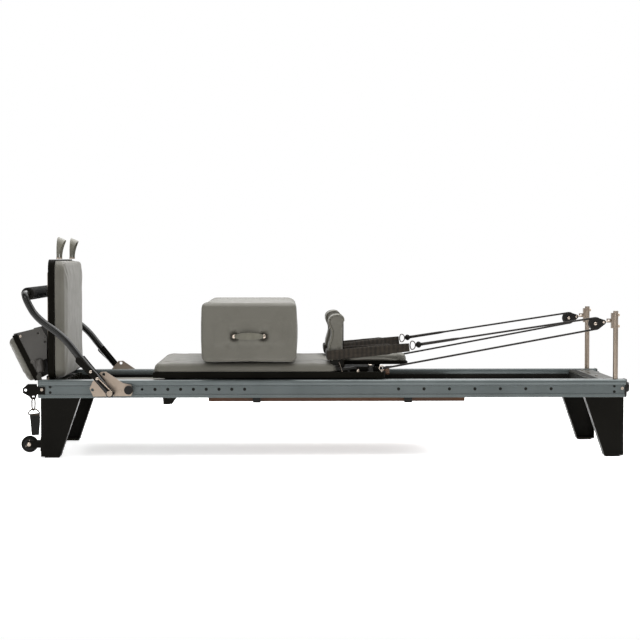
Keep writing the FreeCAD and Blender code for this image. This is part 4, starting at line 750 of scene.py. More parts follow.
@dataclass
class RopeHardware:
    """Balls, hoops, cleats, bollards and eye bolts that the ropes end at."""

    ball_x: float = 336.5
    ball_y: float = 295.4
    ball_z: float = 439.5
    hoop_x: float = 311.0
    hoop_z: float = 437.0
    fitting_y: float = 293.0
    base_top: float = 332.0
    seat: float = 0.2  # how far the fittings stand off the base, mm
    cleat_x: float = 34.0
    bolt_x: float = 97.5
    bollard_x: float = 147.0
    bollard_height: float = 26.2
    eye_x: float = 191.0
    eye_z: float = 347.0
    eye_radius: float = 0.0092
    # place of the black plate that paints the shade over the base's top
    shade_plate_y: float = 262.0
    shade_plate_ends: tuple = (36.0, 196.0)
    socket_x: float = 32.0
    socket_ends: tuple = (160.0, 288.0)
    foot_x: float = 12.0
    foot_ends: tuple = (162.0, 290.0)

    def ball(self, label: str, side: int) -> None:
        """A rubber stopper with a waist round the rope, and its wire hoop."""
        profile = [(-0.0118 + 0.0236 * k / 12, 0.0126 * math.sin(math.pi * (0.06 + 0.88 * k / 12)) ** 0.7)
                   for k in range(13)]
        profile += [(0.0112, 0.0065), (0.017, 0.006)]
        (from_x, from_z), (to_x, to_z) = Ropes.route[:2]
        pull = at(to_x, 0, to_z) - at(from_x, 0, from_z)
        stopper = new_piece(f"rope_ball_{label}", turned(
            profile, at(self.ball_x, side * self.ball_y, self.ball_z), pull), RUBBER, "carriage")
        # a D: nearly straight at the strap, a round bow at the ball
        middle = at(self.hoop_x, side * self.ball_y, self.hoop_z)
        bow = [middle + Vector(((0.013 if math.cos(a) > 0 else 0.008) * math.cos(a), 0,
                                0.0165 * math.sin(a))) for a in around(40)]
        new_piece(f"strap_ring_{label}", swept(bow, wire(0.0021), Y_AXIS, closed=True), NICKEL,
                  "carriage")
        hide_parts("rope_balls")

    def fittings(self, label: str, side: int) -> None:
        """The cleat, bolt, bollard and eye bolt on one side of the base."""
        y, floor = side * self.fitting_y, self.base_top + self.seat
        rise = 0.42 * math.tan(math.radians(20))
        horn = [at(self.cleat_x + 8 * k, y, 341 + 8 * k * rise) for k in range(8)]
        cleat = new_piece(f"rope_cleat_{label}", joined(
            swept(horn, lambda t: circle(0.0072 + 0.0010 * math.cos(t * 40), 14), Y_AXIS),
            turned([(0, 0.006), (0.004, 0.0045), (0.013, 0.004)], at(self.cleat_x + 27, y, floor),
                   Z_AXIS)), BLACK_ABS, "carriage")
        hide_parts("rope_fittings")
        new_piece(f"rope_bolt_{label}", turned(
            [(0, 0.0095), (0.0016, 0.0095), (0.0018, 0.0062), (0.0075, 0.0062), (0.0098, 0.0044),
             (0.0098, 0.0026), (0.0072, 0.0024)], at(self.bolt_x, y, floor), Z_AXIS, 24),
            BRIGHT, "carriage")
        new_piece(f"rope_bollard_{label}", turned(
            [(0, 0.0125), (0.002, 0.0125), (0.004, 0.0105), (0.020, 0.0098), (0.023, 0.0115),
             (0.0262, 0.0115), (0.0262, 0.008)], at(self.bollard_x, y, floor), Z_AXIS, 32),
            BLACK_ABS, "carriage")
        new_piece(f"bollard_cap_{label}", turned(
            [(0, 0.0078), (0.0018, 0.0078), (0.0032, 0.0062), (0.0036, 0.0035), (0.0026, 0.003)],
            at(self.bollard_x, y, floor + self.bollard_height), Z_AXIS, 24), BRIGHT, "carriage")
        eye = at(self.eye_x, y, self.eye_z)
        bow = [eye + Vector((math.cos(a), 0, math.sin(a))) * self.eye_radius for a in around(36)]
        new_piece(f"eye_bolt_{label}", joined(
            swept(bow, wire(0.0024), Y_AXIS, closed=True),
            turned([(0, 0.006), (0.0015, 0.006), (0.0016, 0.0028), (0.0072, 0.0028)],
                   at(self.eye_x, y, floor), Z_AXIS, 16)), BRIGHT, "carriage")

    def sockets(self, label: str, side: int) -> None:
        """A black plate on the base that paints the shade over the base's top and stands for the brackets
        there, the rest's socket and foot, and the rope's lashing at the eye.
        """
        # the black plate is painted shade over the base's top, standing in for the brackets there as well
        first, last = (at(x, side * self.shade_plate_y, self.base_top + 9) for x in self.shade_plate_ends)
        bar(f"base_shade_plate_{label}", (first, last), strip(0.019, 0.004), Z_AXIS, BLACK_STEEL, "carriage")
        first, last = (at(self.socket_x, side * y, 366) for y in self.socket_ends)
        bar(f"rest_socket_{label}", (first, last), strip(0.021, 0.029, 16), X_AXIS, BLACK_STEEL,
            "carriage")
        first, last = (at(self.foot_x, side * y, 370) for y in self.foot_ends)
        bar(f"rest_foot_{label}", (first, last), strip(0.046, 0.022, 16, 5), X_AXIS, RUBBER, "carriage")
        y = side * self.fitting_y
        lashing = [at(196, y, 347.2), at(201, y, 348), at(214, y, 350.2), at(232, y - side * 0.2, 353.2)]
        new_piece(f"rope_splice_{label}", swept(lashing, lambda t: circle(0.0062 - 0.0022 * t)), CORD,
                  "carriage")

    def build(self) -> None:
        """Build both sides."""
        for label, side in SIDES.items():
            self.ball(label, side)
            self.fittings(label, side)
            self.sockets(label, side)


@dataclass
class Springs:
    """Five closed-coil springs between the foot end's bar and the carriage."""

    count: int = 5
    wire: float = 0.0030
    pitch: float = 0.0042
    sides: int = 6
    steps: int = 14
    hook: float = 0.022
    margin: float = 0.009  # from the outer springs' axes to the edges of their place
    clearance: float = 0.0005  # between the coils and the top and bottom of their place

    def build(self) -> None:
        """Wind each spring with a hook at both ends."""
        low, high = span("springs")
        radius = (high.z - low.z) / 2 - self.wire / 2 - self.clearance
        z = (low.z + high.z) / 2
        start, end = low.x + self.hook, high.x - self.hook
        total = int((end - start) / self.pitch * self.steps)
        for index in range(self.count):
            y = low.y + self.margin + (high.y - low.y - 2 * self.margin) * index / (self.count - 1)
            line = [Vector((low.x, y, z)), Vector((low.x + self.hook * 0.5, y, z)),
                    Vector((start - 0.002, y + radius * 0.6, z))]
            for k in range(total + 1):
                a = 2 * math.pi * k / self.steps
                line.append(Vector((start + (end - start) * k / total, y + radius * math.cos(a),
                                    z + radius * math.sin(a))))
            line += [Vector((end + 0.002, y + radius * 0.6, z)),
                     Vector((high.x - self.hook * 0.5, y, z)), Vector((high.x, y, z))]
            spring = new_piece(f"spring_{index + 1}", swept(
                line, lambda t: circle(self.wire / 2, self.sides)), SPRING)
            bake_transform(spring)
            if index == 0:
                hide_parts("springs")


def pillow(low: Vector, high: Vector, corner: float, edge: float, back: float) -> Shape:
    """A block with rounded corners, a rounded front edge and a tighter back edge.

    Args:
        low: its lowest corner in its own axes, the third axis facing out of the padding.
        high: its highest corner.
        corner: radius of the outline's corners, m.
        edge: radius of the front edge, m.
        back: radius of the back edge, m.

    Returns:
        Vertices and faces.
    """
    levels = [(low.z + back * (1 - math.sin(a)), back * (1 - math.cos(a)))
              for a in (math.pi / 2 * (1 - k / 4) for k in range(5))]
    levels += [(high.z - edge * (1 - math.sin(a)), edge * (1 - math.cos(a)))
               for a in (math.pi / 2 * k / 6 for k in range(7))]
    thinnest = 0.0004  # of a corner whose radius the inset has used up
    return skin([[Vector((x, y, height)) for x, y in
                  rounded(low, high, max(corner, inset), max(corner - inset, thinnest), 8)]
                 for height, inset in levels])


def baked(piece: bpy.types.Object) -> None:
    """Apply a piece's modifiers to its mesh."""
    graph = bpy.context.evaluated_depsgraph_get()
    mesh = bpy.data.meshes.new_from_object(piece.evaluated_get(graph))
    piece.modifiers.clear()
    old = piece.data
    piece.data = mesh
    mesh.name = piece.name
    bpy.data.meshes.remove(old)


def points_of(piece: bpy.types.Object) -> np.ndarray:
    """The piece's vertices as an array."""
    flat = np.empty(len(piece.data.vertices) * 3)
    piece.data.vertices.foreach_get("co", flat)
    return flat.reshape(-1, 3)


def move_points(piece: bpy.types.Object, points: np.ndarray) -> None:
    """Set the piece's vertices from an array."""
    piece.data.vertices.foreach_set("co", points.ravel())
    piece.data.update()


def normals_of(piece: bpy.types.Object) -> np.ndarray:
    """The piece's vertex normals as an array."""
    return np.array([v.vector for v in piece.data.vertex_normals])


def stuffed(piece: bpy.types.Object, voxel: float, cap: float, out: Vector, low: Vector,
            high: Vector, proud: float) -> None:
    """Fill a cushion: rebuild its mesh evenly, swell it with a cloth simulation and smooth it.

    Args:
        piece: the cushion, a little smaller than its place.
        voxel: size of the even mesh, m.
        cap: the furthest any point may swell, m.
        out: the direction the padding faces; the opposite face stays flat on its board.
        low: lowest corner of its place.
        high: highest corner of its place.
        proud: how far the swollen cloth may leave its place, m.
    """
    remesh = piece.modifiers.new("even", "REMESH")
    remesh.mode = "VOXEL"
    remesh.voxel_size = voxel
    baked(piece)
    start = points_of(piece)
    seat = start @ np.array(out)
    fixed = piece.vertex_groups.new(name="seat")
    fixed.add([int(i) for i in np.nonzero(seat < seat.min() + voxel * 0.6)[0]], 1.0, "ADD")
    cloth = piece.modifiers.new("filling", "CLOTH")
    cloth.settings.quality = 4
    cloth.settings.mass = 0.3
    cloth.settings.use_pressure = True
    cloth.settings.uniform_pressure_force = 4
    cloth.settings.vertex_group_mass = "seat"
    cloth.settings.effector_weights.gravity = 0
    cloth.point_cache.frame_start = 1
    cloth.point_cache.frame_end = FILLING_FRAMES
    for number in range(1, FILLING_FRAMES + 1):
        bpy.context.scene.frame_set(number)
    baked(piece)
    bpy.context.scene.frame_set(1)
    moved = points_of(piece)
    step = moved - start
    reach = np.linalg.norm(step, axis=1, keepdims=True)
    step *= np.minimum(1.0, cap / np.maximum(reach, 1e-9))
    moved = start + step
    moved = np.clip(moved, np.array(low) - proud, np.array(high) + proud)
    along = moved @ np.array(out)
    sunk = np.minimum(along - seat.min(), 0)[:, None]
    move_points(piece, moved - sunk * np.array(out))
    smooth = piece.modifiers.new("fine", "SUBSURF")
    smooth.levels = 1
    baked(piece)
    for polygon in piece.data.polygons:
        polygon.use_smooth = True


def pressed(piece: bpy.types.Object, line: Sequence[Vector], depth: float, width: float) -> None:
    """Press a seam or a dimple into a cushion.

    Args:
        piece: the cushion.
        line: the seam's points, or one point for a dimple.
        depth: how deep it goes, m.
        width: half of how wide it is, m.
    """
    points = points_of(piece)
    normals = normals_of(piece)
    nearest = np.full(len(points), 1e9)
    ends = list(line) if len(line) > 1 else [line[0], line[0]]
    for a, b in zip(ends, ends[1:]):
        start, run = np.array(a), np.array(b - a)
        length = max(float(run @ run), 1e-12)
        share = np.clip(((points - start) @ run) / length, 0, 1)[:, None]
        nearest = np.minimum(nearest, np.linalg.norm(points - start - share * run, axis=1))
    sink = depth * np.exp(-(nearest / width) ** 2)
    move_points(piece, points - normals * sink[:, None])


@dataclass
class Cushion:
    """One upholstered pad that stands for a CAD solid."""

    name: str
    node: str
    body: str
    out: Vector = field(default_factory=lambda: Z_AXIS)
    side: Vector = field(default_factory=lambda: X_AXIS)
    corner: float = 0.02
    edge: float = 0.012
    back: float = 0.004
    inset: float = 0.003
    voxel: float = 0.008
    cap: float = 0.006
    proud: float = 0.002
    fill: float = 0.75

    def axes(self) -> Matrix:
        """The cushion's own axes: side, up and out."""
        up = self.out.cross(self.side)
        return Matrix((self.side, up, self.out))

    def extent(self) -> tuple[Vector, Vector]:
        """The CAD solid's lowest and highest corner in the cushion's own axes."""
        turn = self.axes()
        points = [turn @ v.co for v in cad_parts[self.node].data.vertices]
        low = Vector([min(p[i] for p in points) for i in range(3)])
        high = Vector([max(p[i] for p in points) for i in range(3)])
        return low, high

    def rim(self, level: float) -> list[Vector]:
        """A seam line round the cushion at a height above its seat."""
        low, high = self.extent()
        turn = self.axes().transposed()
        points = [turn @ Vector((x, y, low.z + level))
                  for x, y in rounded(low, high, self.corner, self.corner, 6)]
        return points + points[:1]

    def build(self) -> bpy.types.Object:
        """Cut, fill and dress the cushion.

        Returns:
            The finished piece.
        """
        low, high = self.extent()
        turn = self.axes().transposed()
        shrink = Vector((self.inset, self.inset, 0))
        shape_low = low + shrink
        shape_high = high - shrink - Vector((0, 0, self.inset))
        vertices, faces = pillow(shape_low, shape_high, self.corner, self.edge, self.back)
        piece = new_piece(self.name, ([turn @ v for v in vertices], faces), LEATHERCLOTH)
        stuffed(piece, self.voxel, self.cap, self.out, *span(self.node), self.proud)
        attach(piece, self.body)
        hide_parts(self.node)
        return piece


@dataclass
class Carriage:
    """The sliding carriage: its cushion, headrest, shoulder rests, straps and the box on it."""

    stud_spread: float = 57.5
    box_x: float = -329.0
    box_face: float = 350.5
    top_edge: float = 0.046
    stud_z: float = 475.0
    rest_outer: float = 300.0
    rest_inner: float = 150.0
    strap_width: float = 0.033
    strap_thick: float = 0.0045
    pad_width: float = 0.006  # what the padded sleeve adds to the strap
    pad_thick: float = 0.0065
    plain_share: float = 0.085  # of the strap's length, bare at each end

    def pads(self) -> None:
        """Upholster the carriage and the headrest."""
        pad = Cushion("carriage_cushion", "carriage_pad", "carriage", corner=0.034, edge=0.026,
                      back=0.008, inset=0.001, cap=0.006, fill=0.8)
        piece = pad.build()
        pressed(piece, pad.rim(0.006), 0.0008, 0.004)
        Cushion("headrest_cushion", "headrest_pad", "headrest", corner=0.03, edge=0.014, voxel=0.006,
                cap=0.005).build()

    def sitting_box(self) -> None:
        """The sitting box, with panel seams, studs and two bowed handles."""
        box = Cushion("sitting_box_cover", "sitting_box", "sitting_box", out=-Y_AXIS, side=X_AXIS,
                      corner=0.020, edge=0.012, back=0.012, cap=0.004, inset=0.002, fill=0.9)
        piece = box.build()
        low, high = box.extent()
        self.round_over(piece, self.top_edge)
        seam = 0.011  # from each face's edge to its seam
        for level in (seam, high.z - low.z - seam):
            pressed(piece, box.rim(level), 0.0012, 0.0045)
        for label, side in SIDES.items():
            studs = [at(self.box_x + s * self.stud_spread, side * self.box_face, self.stud_z)
                     for s in (-1, 1)]
            for sign, stud in zip((-1, 1), studs):
                pressed(piece, [stud], 0.013, 0.019)
                # the creases that the stud pulls into the cloth
                for x, z, depth, width in ((0.016, 0.030, 0.009, 0.012), (-0.004, 0.026, 0.005, 0.010),
                                           (0.022, -0.034, 0.006, 0.012),
                                           (-0.022, -0.030, 0.004, 0.012)):
                    pressed(piece, [stud, stud + Vector((sign * x, 0, z))], depth, width)
            self.handle(label, side, studs)

    def round_over(self, piece: bpy.types.Object, radius: float) -> None:
        """Round the box's two long top edges.

        Args:
            piece: the box's cover.
            radius: of the rounding, m.
        """
        points = points_of(piece)
        centre = (points[:, 1].max() + points[:, 1].min()) / 2
        half = (points[:, 1].max() - points[:, 1].min()) / 2
        out = np.abs(points[:, 1] - centre) - (half - radius)
        up = points[:, 2] - (points[:, 2].max() - radius)
        reach = np.hypot(out, up)
        past = (out > 0) & (up > 0) & (reach > radius)
        pull = np.where(past, 1 - radius / np.maximum(reach, 1e-9), 0.0)
        points[:, 1] -= np.sign(points[:, 1] - centre) * out * pull
        points[:, 2] -= up * pull
        move_points(piece, points)

    def handle(self, label: str, side: int, studs: list[Vector]) -> None:
        """A leathercloth strap bowed out between two domed studs."""
        out = Y_AXIS * side
        path = []
        for k, point in enumerate(straight(*studs, 32)):
            rise = math.sin(math.pi * k / 32)
            path.append(point + out * (0.0015 + 0.027 * rise ** 0.7) + Z_AXIS * (0.0015 * rise))

        def outline(t: float) -> Outline:
            """Narrow under the studs, full width in the hand."""
            return band(0.011 + 0.017 * math.sin(math.pi * t) ** 0.7, 0.0036, 16, 4)

        strap = new_piece(f"box_handle_{label}", swept(path, outline, Z_AXIS), STRAP_LEATHER,
                          "sitting_box")
        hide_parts("box_handles")
        for number, stud in enumerate(studs):
            new_piece(f"box_stud_{label}_{number + 1}", turned(
                [(-0.004, 0.0088), (0.0035, 0.0088), (0.0048, 0.0078), (0.0062, 0.0056),
                 (0.0068, 0.002)], stud, out, 24), BRIGHT, "sitting_box")

    def rest_profile(self) -> Outline:
        """The rest's side: a rounded top, a waist and a fuller foot, flat against its plate.

        Returns:
            Outline points in mm, x from the rails' middle and z up.
        """
        knots = [(34, 376), (-4, 376), (-14, 386), (-16.5, 410), (-13, 438), (-5, 462), (-1, 480),
                 (-4, 498), (-12, 514), (-16.5, 530), (-13.5, 543), (-4, 552), (9, 556.5), (24, 557),
                 (36, 553), (42, 544), (42.5, 532), (41, 523), (34.5, 520), (34.3, 508)]
        curve = spline_points("rest_outline", [Vector((x, 0, z)) for x, z in knots], 6)
        return [(p.x, p.z) for p in curve]

    def rest_shape(self, profile: Outline, middle: float) -> Shape:
        """One rest, with its outline drawn in towards both ends.

        Args:
            profile: its side's outline, mm.
            middle: the place of its middle across the machine, mm.

        Returns:
            Vertices and faces.
        """
        centre_x, centre_z = 9.0, 470.0
        half_depth, half_height = 26.0, 95.0
        half_width = (self.rest_outer - self.rest_inner) / 2 - 2
        # (share of the half width, how far the outline is drawn in) from one end to the other
        levels = [(-1 + 0.16 * (1 - math.sin(a)), 10 * (1 - math.cos(a)))
                  for a in (math.pi / 2 * (1 - k / 4) for k in range(5))]
        levels += [(-share, inset) for share, inset in reversed(levels)]
        rings = []
        for share, inset in levels:
            ring = []
            for x, z in profile:
                # the back, which lies on the plate, stays flat
                draw = min(0.6, inset / half_depth) if x < 31 else 0.0
                ring.append(at(x - (x - centre_x) * draw, middle + share * half_width,
                               z - (z - centre_z) * inset / half_height))
            rings.append(ring)
        return skin(rings)

    def shoulder_rests(self) -> None:
        """Two padded rests with a piped front edge."""
        profile = self.rest_profile()
        low, high = span("shoulder_rests")
        for label, side in SIDES.items():
            outer, inner = side * self.rest_outer, side * self.rest_inner
            rest = new_piece(f"shoulder_rest_{label}", self.rest_shape(profile, (outer + inner) / 2),
                             LEATHERCLOTH)
            stuffed(rest, 0.005, 0.004, -X_AXIS, Vector((low.x, min(outer, inner) * MM, low.z)),
                    Vector((high.x + 0.009, max(outer, inner) * MM, high.z)), 0.002)
            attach(rest, "carriage")
            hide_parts("shoulder_rests")
            for where, y in (("outer", outer - side * 5.5), ("inner", inner + side * 5.5)):
                trim = [at(x - (0.3 if x < 9 else -0.3), y, z) for x, z in profile
                        if x < 30 or z > 530][3:]
                new_piece(f"rest_piping_{label}_{where}", swept(trim, wire(0.0021, 8), Y_AXIS),
                          STRAP_LEATHER, "carriage")

    def strap_line(self, side: int) -> list[Vector]:
        """The hand strap's centre line: round the rest's front and back to the ring."""
        knots = [(300, 292), (262, 300), (228, 306), (120, 307), (20, 307), (-14, 306.5), (-21, 300),
                 (-21.5, 280), (-21.5, 225), (-21.5, 170), (-21, 150), (-14, 143), (20, 143.5),
                 (50, 145), (75, 152), (140, 190), (220, 240), (262, 268), (292, 286)]
        rise = math.tan(STRAP_RISE)
        return spline_points("strap_route", [at(x, side * y, 400 + rise * x) for x, y in knots], 8)

    def hand_straps(self) -> None:
        """Padded loops that hang round the rests, with plain webbing where they meet the rings."""
        for label, side in SIDES.items():
            line = self.strap_line(side)
            last = len(line) - 1
            runs = [0.0]
            for a, b in zip(line, line[1:]):
                runs.append(runs[-1] + (b - a).length)

            def outline(t: float) -> Outline:
                """Flat webbing at the ends, a gathered padded sleeve between."""
                run = runs[min(last, round(t * last))]
                share = run / runs[-1]
                pad = min(1.0, max(0.0, (min(share, 1 - share) - self.plain_share) / 0.018))
                gather = 0.0003 * math.sin(run / 0.0046) + 0.0005 * math.sin(run / 0.0113 + 1.0)
                return band(self.strap_width + (self.pad_width + gather) * pad,
                            self.strap_thick + (self.pad_thick + gather) * pad, 18, 4 - 1.4 * pad)

            tilt = Vector((-math.sin(STRAP_RISE), 0, math.cos(STRAP_RISE)))
            strap = new_piece(f"hand_strap_{label}", swept(line, outline, tilt), PADDED_NYLON,
                              "carriage")
            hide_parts("hand_straps")
        # the buckle on the far strap's outer run
        frame_line = [at(x, 300.5, z) for x, z in ((196, 411), (222, 411), (222, 432), (196, 432))]
        new_piece("strap_buckle_far", swept(frame_line, wire(0.0016, 8), Y_AXIS, closed=True), BRIGHT,
                  "carriage")

    def clips(self) -> None:
        """Bent clips beside the rests."""
        for label, side in SIDES.items():
            line = [at(24, side * 296, 372), at(29, side * 298, 356), at(33, side * 299, 340),
                    at(37, side * 300, 333)]
            new_piece(f"rest_clip_{label}", swept(spline_points("clip", line, 8),
                                                  strip(0.010, 0.0022, 12, 4), Y_AXIS),
                      BRIGHT, "carriage")

    def build(self) -> None:
        """Build everything that rides on the carriage."""
        self.pads()
        self.sitting_box()
        self.shoulder_rests()
        self.hand_straps()
        self.clips()


@dataclass
class FootEnd:
    """The jump board, the sloping platform, the foot bar's grip and the hanging strap."""

    loop_y: float = 200.0
    loop_half: float = 0.045
    loop_x: float = 0.021  # from the back of the loops' place to their feet
    grip_bore: float = 0.0155
    grip_ribs: int = 40
    link_half: float = 0.0243
    link_bow: float = 0.0082
    link_turn: float = math.radians(52)
    link_wire: float = 0.0032
    ring_wire: float = 0.0028

    def pads(self) -> None:
        """Upholster the jump board and the platform."""
        jump = Cushion("jump_board_cushion", "jump_board_pad", "jump_board", out=X_AXIS, side=Y_AXIS,
                       corner=0.040, edge=0.014, cap=0.005, fill=0.8)
        piece = jump.build()
        pressed(piece, jump.rim(0.008), 0.0008, 0.004)
        out = Vector((-math.cos(PLATFORM_LEAN), 0, -math.sin(PLATFORM_LEAN)))
        Cushion("platform_cushion", "platform_pad", "foot_platform", out=out, side=Y_AXIS,
                corner=0.030, edge=0.013, voxel=0.006, cap=0.005, fill=0.8).build()

    def loops(self) -> None:
        """Two leathercloth carrying loops on the jump board's top edge."""
        low, high = span("jump_board_loops")
        height = high.z - low.z
        for label, side in SIDES.items():
            path = []
            for k in range(49):
                a = math.pi * (1 - k / 48)
                across = self.loop_half * math.cos(a) * (1.0 + 0.08 * math.sin(a))
                up = math.sin(a) ** 0.62
                path.append(Vector((low.x + self.loop_x + 0.011 * up ** 2, side * self.loop_y * MM + across,
                                    low.z + 0.001 + (height - 0.004) * up)))

            def outline(t: float) -> Outline:
                """Narrow at the feet, wide in the hand, thin all along."""
                return band(0.010 + 0.021 * math.sin(math.pi * t) ** 1.1, 0.0036, 16, 4)

            vertices, faces = swept(path, outline, X_AXIS)
            for v in vertices:
                share = max(0.0, (v.z - low.z) / height)
                v.z -= 0.45 * (v.x - low.x - self.loop_x) * share ** 2 - 0.001
            loop = new_piece(f"jump_board_loop_{label}", (vertices, faces), STRAP_LEATHER, "jump_board")
            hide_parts("jump_board_loops")
            for number, end in enumerate((path[0], path[-1])):
                bar(f"loop_clamp_{label}_{number + 1}", (end + Z_AXIS * 0.001, end + Z_AXIS * 0.007),
                    strip(0.012, 0.0075, 12, 4), X_AXIS, STAINLESS, "jump_board", 2)

    def grip(self) -> None:
        """The foam sleeve on the foot bar, its ends rounded to the tube."""
        low, high = span("footbar_grip")
        reach, r = (high.y - low.y) / 2, (high.z - low.z) / 2
        cap = 0.006  # length of each rounded end
        end = [(reach - cap, r), (reach - 0.002, r - 0.003), (reach, r - 0.008), (reach, self.grip_bore)]
        ribs = [(-reach + cap + 2 * (reach - cap) * k / self.grip_ribs, r - 0.0003 * (k % 2))
                for k in range(1, self.grip_ribs)]
        profile = [(-along, radius) for along, radius in reversed(end)] + ribs + end
        sleeve = new_piece("footbar_sleeve", turned(profile, (low + high) / 2, Y_AXIS, 40), FOAM,
                           "footbar")
        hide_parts("footbar_grip")

    def hanging(self) -> None:
        """The webbing tab that hangs from the near bracket's D ring."""
        low, high = span("hanging_strap")
        middle = (low + high) / 2
        path = [Vector((middle.x + 0.002 + 0.004 * k / 24 + 0.0012 * math.sin(k / 5),
                        middle.y + 0.0008 * math.sin(k / 4), high.z - (high.z - low.z) * k / 24))
                for k in range(25)]

        def outline(t: float) -> Outline:
            """Full width at the ring, tapering to the stitched end."""
            return band((high.x - low.x) * (1.3 - 0.4 * t ** 1.3),
                        0.0052 - 0.0012 * math.sin(math.pi * min(1.0, t * 3)), 16, 5)

        tab = new_piece("hanging_tab", swept(path, outline, X_AXIS), WEBBING, "hanging_strap")
        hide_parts("hanging_strap")
        self.rings(Vector((middle.x - 0.002, middle.y, 0)))

    def rings(self, middle: Vector) -> None:
        """The wire link through the bracket's eye and the D ring below it."""
        low, high = span("hanging_ring")
        across = Vector((math.cos(self.link_turn), math.sin(self.link_turn), 0))
        centre_z = high.z - 0.0022 - self.link_half
        link = []
        for a in around(48):
            rise = self.link_half * math.copysign(abs(math.sin(a)) ** 0.55, math.sin(a))
            link.append(middle + across * (self.link_bow * math.cos(a)) + Z_AXIS * (centre_z + rise))
        foot = middle + Vector((0.002, 0, low.z + 0.0022))
        dee = straight(foot - X_AXIS * 0.0205, foot + X_AXIS * 0.0205, 12)
        dee += [foot + Vector((0.0212 * math.cos(a), 0, 0.003 + 0.0185 * math.sin(a)))
                for a in (math.pi * k / 20 for k in range(21))]
        rings = new_piece("hanging_link", joined(
            swept(link, wire(self.link_wire), across.cross(Z_AXIS), closed=True),
            swept(dee, wire(self.ring_wire), Y_AXIS, closed=True)), NICKEL, "frame")
        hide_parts("hanging_ring")

    def build(self) -> None:
        """Build the foot end's soft pieces."""
        self.pads()
        self.loops()
        self.grip()
        self.hanging()


@dataclass
class Hardware:
    """Hubs and bolts of the transport wheels and sheaves."""

    wheel_bolt: float = 0.009
    axle_bolt: float = 0.0065
    axle_reach: float = 0.0125
    screw: float = 0.0022
    screw_circle: float = 0.015

    def build(self) -> None:
        """Fit the hubs and bolts."""
        for label, side in SIDES.items():
            out = Y_AXIS * side
            body = f"transport_wheel_{label}"
            low, high = span(body)
            hub = (low + high) / 2
            hub.y = low.y if side < 0 else high.y
            bolt(f"wheel_bolt_{label}", hub + out * 0.0075, out, self.wheel_bolt, "frame")
            new_piece(f"wheel_hub_{label}", turned(
                [(-0.003, 0.0225), (0.0012, 0.0225), (0.0022, 0.0212), (0.0022, 0.0188),
                 (0.0002, 0.0175), (0.0002, 0.0125), (0.0035, 0.0112), (0.0045, 0.0098)], hub, out, 36),
                BLACK_ABS, body)
            for number in range(3):
                a = math.radians(90 + 120 * number)
                spoke = Vector((math.cos(a), 0, math.sin(a))) * self.screw_circle
                bolt(f"hub_screw_{label}_{number + 1}", hub + spoke + out * 0.0003, out, self.screw, body)
            low, high = span(f"sheave_{label}")
            for name, facing in (("axle", out), ("axle_in", -out)):
                bolt(f"sheave_{name}_{label}", (low + high) / 2 + facing * self.axle_reach, facing,
                     self.axle_bolt, "frame")
        log.info("bolts fitted")


@dataclass
class FootBar:
    """The foot bar's bent tube with its eyes, latch strips and bolts."""

    arm_y: float = 375.0
    radius: float = 14.0
    latch_y: float = 390.5
    latch_ends: tuple = ((-852, 252), (-996, 394))
    latch_bolts: tuple = ((-940, 341), (-915, 314))
    latch_bolt_y: float = 392.6
    pivot_bolt_y: float = 389.0
    # x and z in mm up the arm, from the pivot's eye to the cross run
    arm: tuple = ((-867, 256), (-930, 330), (-990, 403), (-1046, 476), (-1150, 549), (-1185, 610),
                  (-1194, 641))

    def tube(self) -> None:
        """One tube: up the near arm, across and down the far arm."""
        near = [at(x, -self.arm_y, z) for x, z in self.arm]
        across = [at(-1193, y, 640) for y in (-318, -150, 0, 150, 318)]
        far = [at(x, self.arm_y, z) for x, z in reversed(self.arm)]
        parts = [swept(spline_points("foot_bar", near + across + far, 14), wire(self.radius * MM, 20))]
        for eye in (near[0], far[-1]):
            parts.append(turned([(-0.014, 0.0135), (-0.0125, 0.016), (0.0125, 0.016), (0.014, 0.0135)],
                                eye, Y_AXIS, 32))
        tube = new_piece("footbar_frame", joined(*parts), GLOSS_STEEL, "footbar")
        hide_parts("footbar_tube")

    def latch(self, label: str, side: int) -> None:
        """A latch strip along the arm's outer face, with a silver rod and two bolts."""
        start, end = (at(x, side * self.latch_y, z) for x, z in self.latch_ends)
        run = (end - start).normalized()
        across = run.cross(Y_AXIS).normalized()

        def outline(t: float) -> Outline:
            """A narrow channel that widens to a rounded paddle."""
            paddle = min(1.0, max(0.0, (t - 0.42) / 0.08))
            tip = math.sqrt(max(0.02, 1 - max(0.0, (t - 0.93) / 0.07) ** 2))
            return band((0.015 + 0.010 * paddle) * tip, 0.0042, 16, 5)

        bar(f"arm_latch_{label}", (start, end), outline, across, BLACK_STEEL, "footbar", 24)
        out = Y_AXIS * side
        # the rod lies on the strip's outer face, above its middle
        face = start + out * 0.0031 - across * 0.0035
        new_piece(f"arm_rod_{label}", swept(straight(face + run * 0.010, face + run * 0.085, 2),
                                            lambda t: circle(0.0022 - 0.0006 * abs(t - 0.5), 10)),
                  STAINLESS, "footbar")
        for number, (x, z) in enumerate(self.latch_bolts):
            bolt(f"latch_bolt_{label}_{number + 1}", at(x, side * self.latch_bolt_y, z), out, 0.0062,
                 "footbar")
        pivot_x, pivot_z = self.arm[0]
        bolt(f"pivot_bolt_{label}", at(pivot_x, side * self.pivot_bolt_y, pivot_z), out, 0.0115, "footbar")

    def build(self) -> None:
        """Build the tube and both latches."""
        self.tube()
        for label, side in SIDES.items():
            self.latch(label, side)


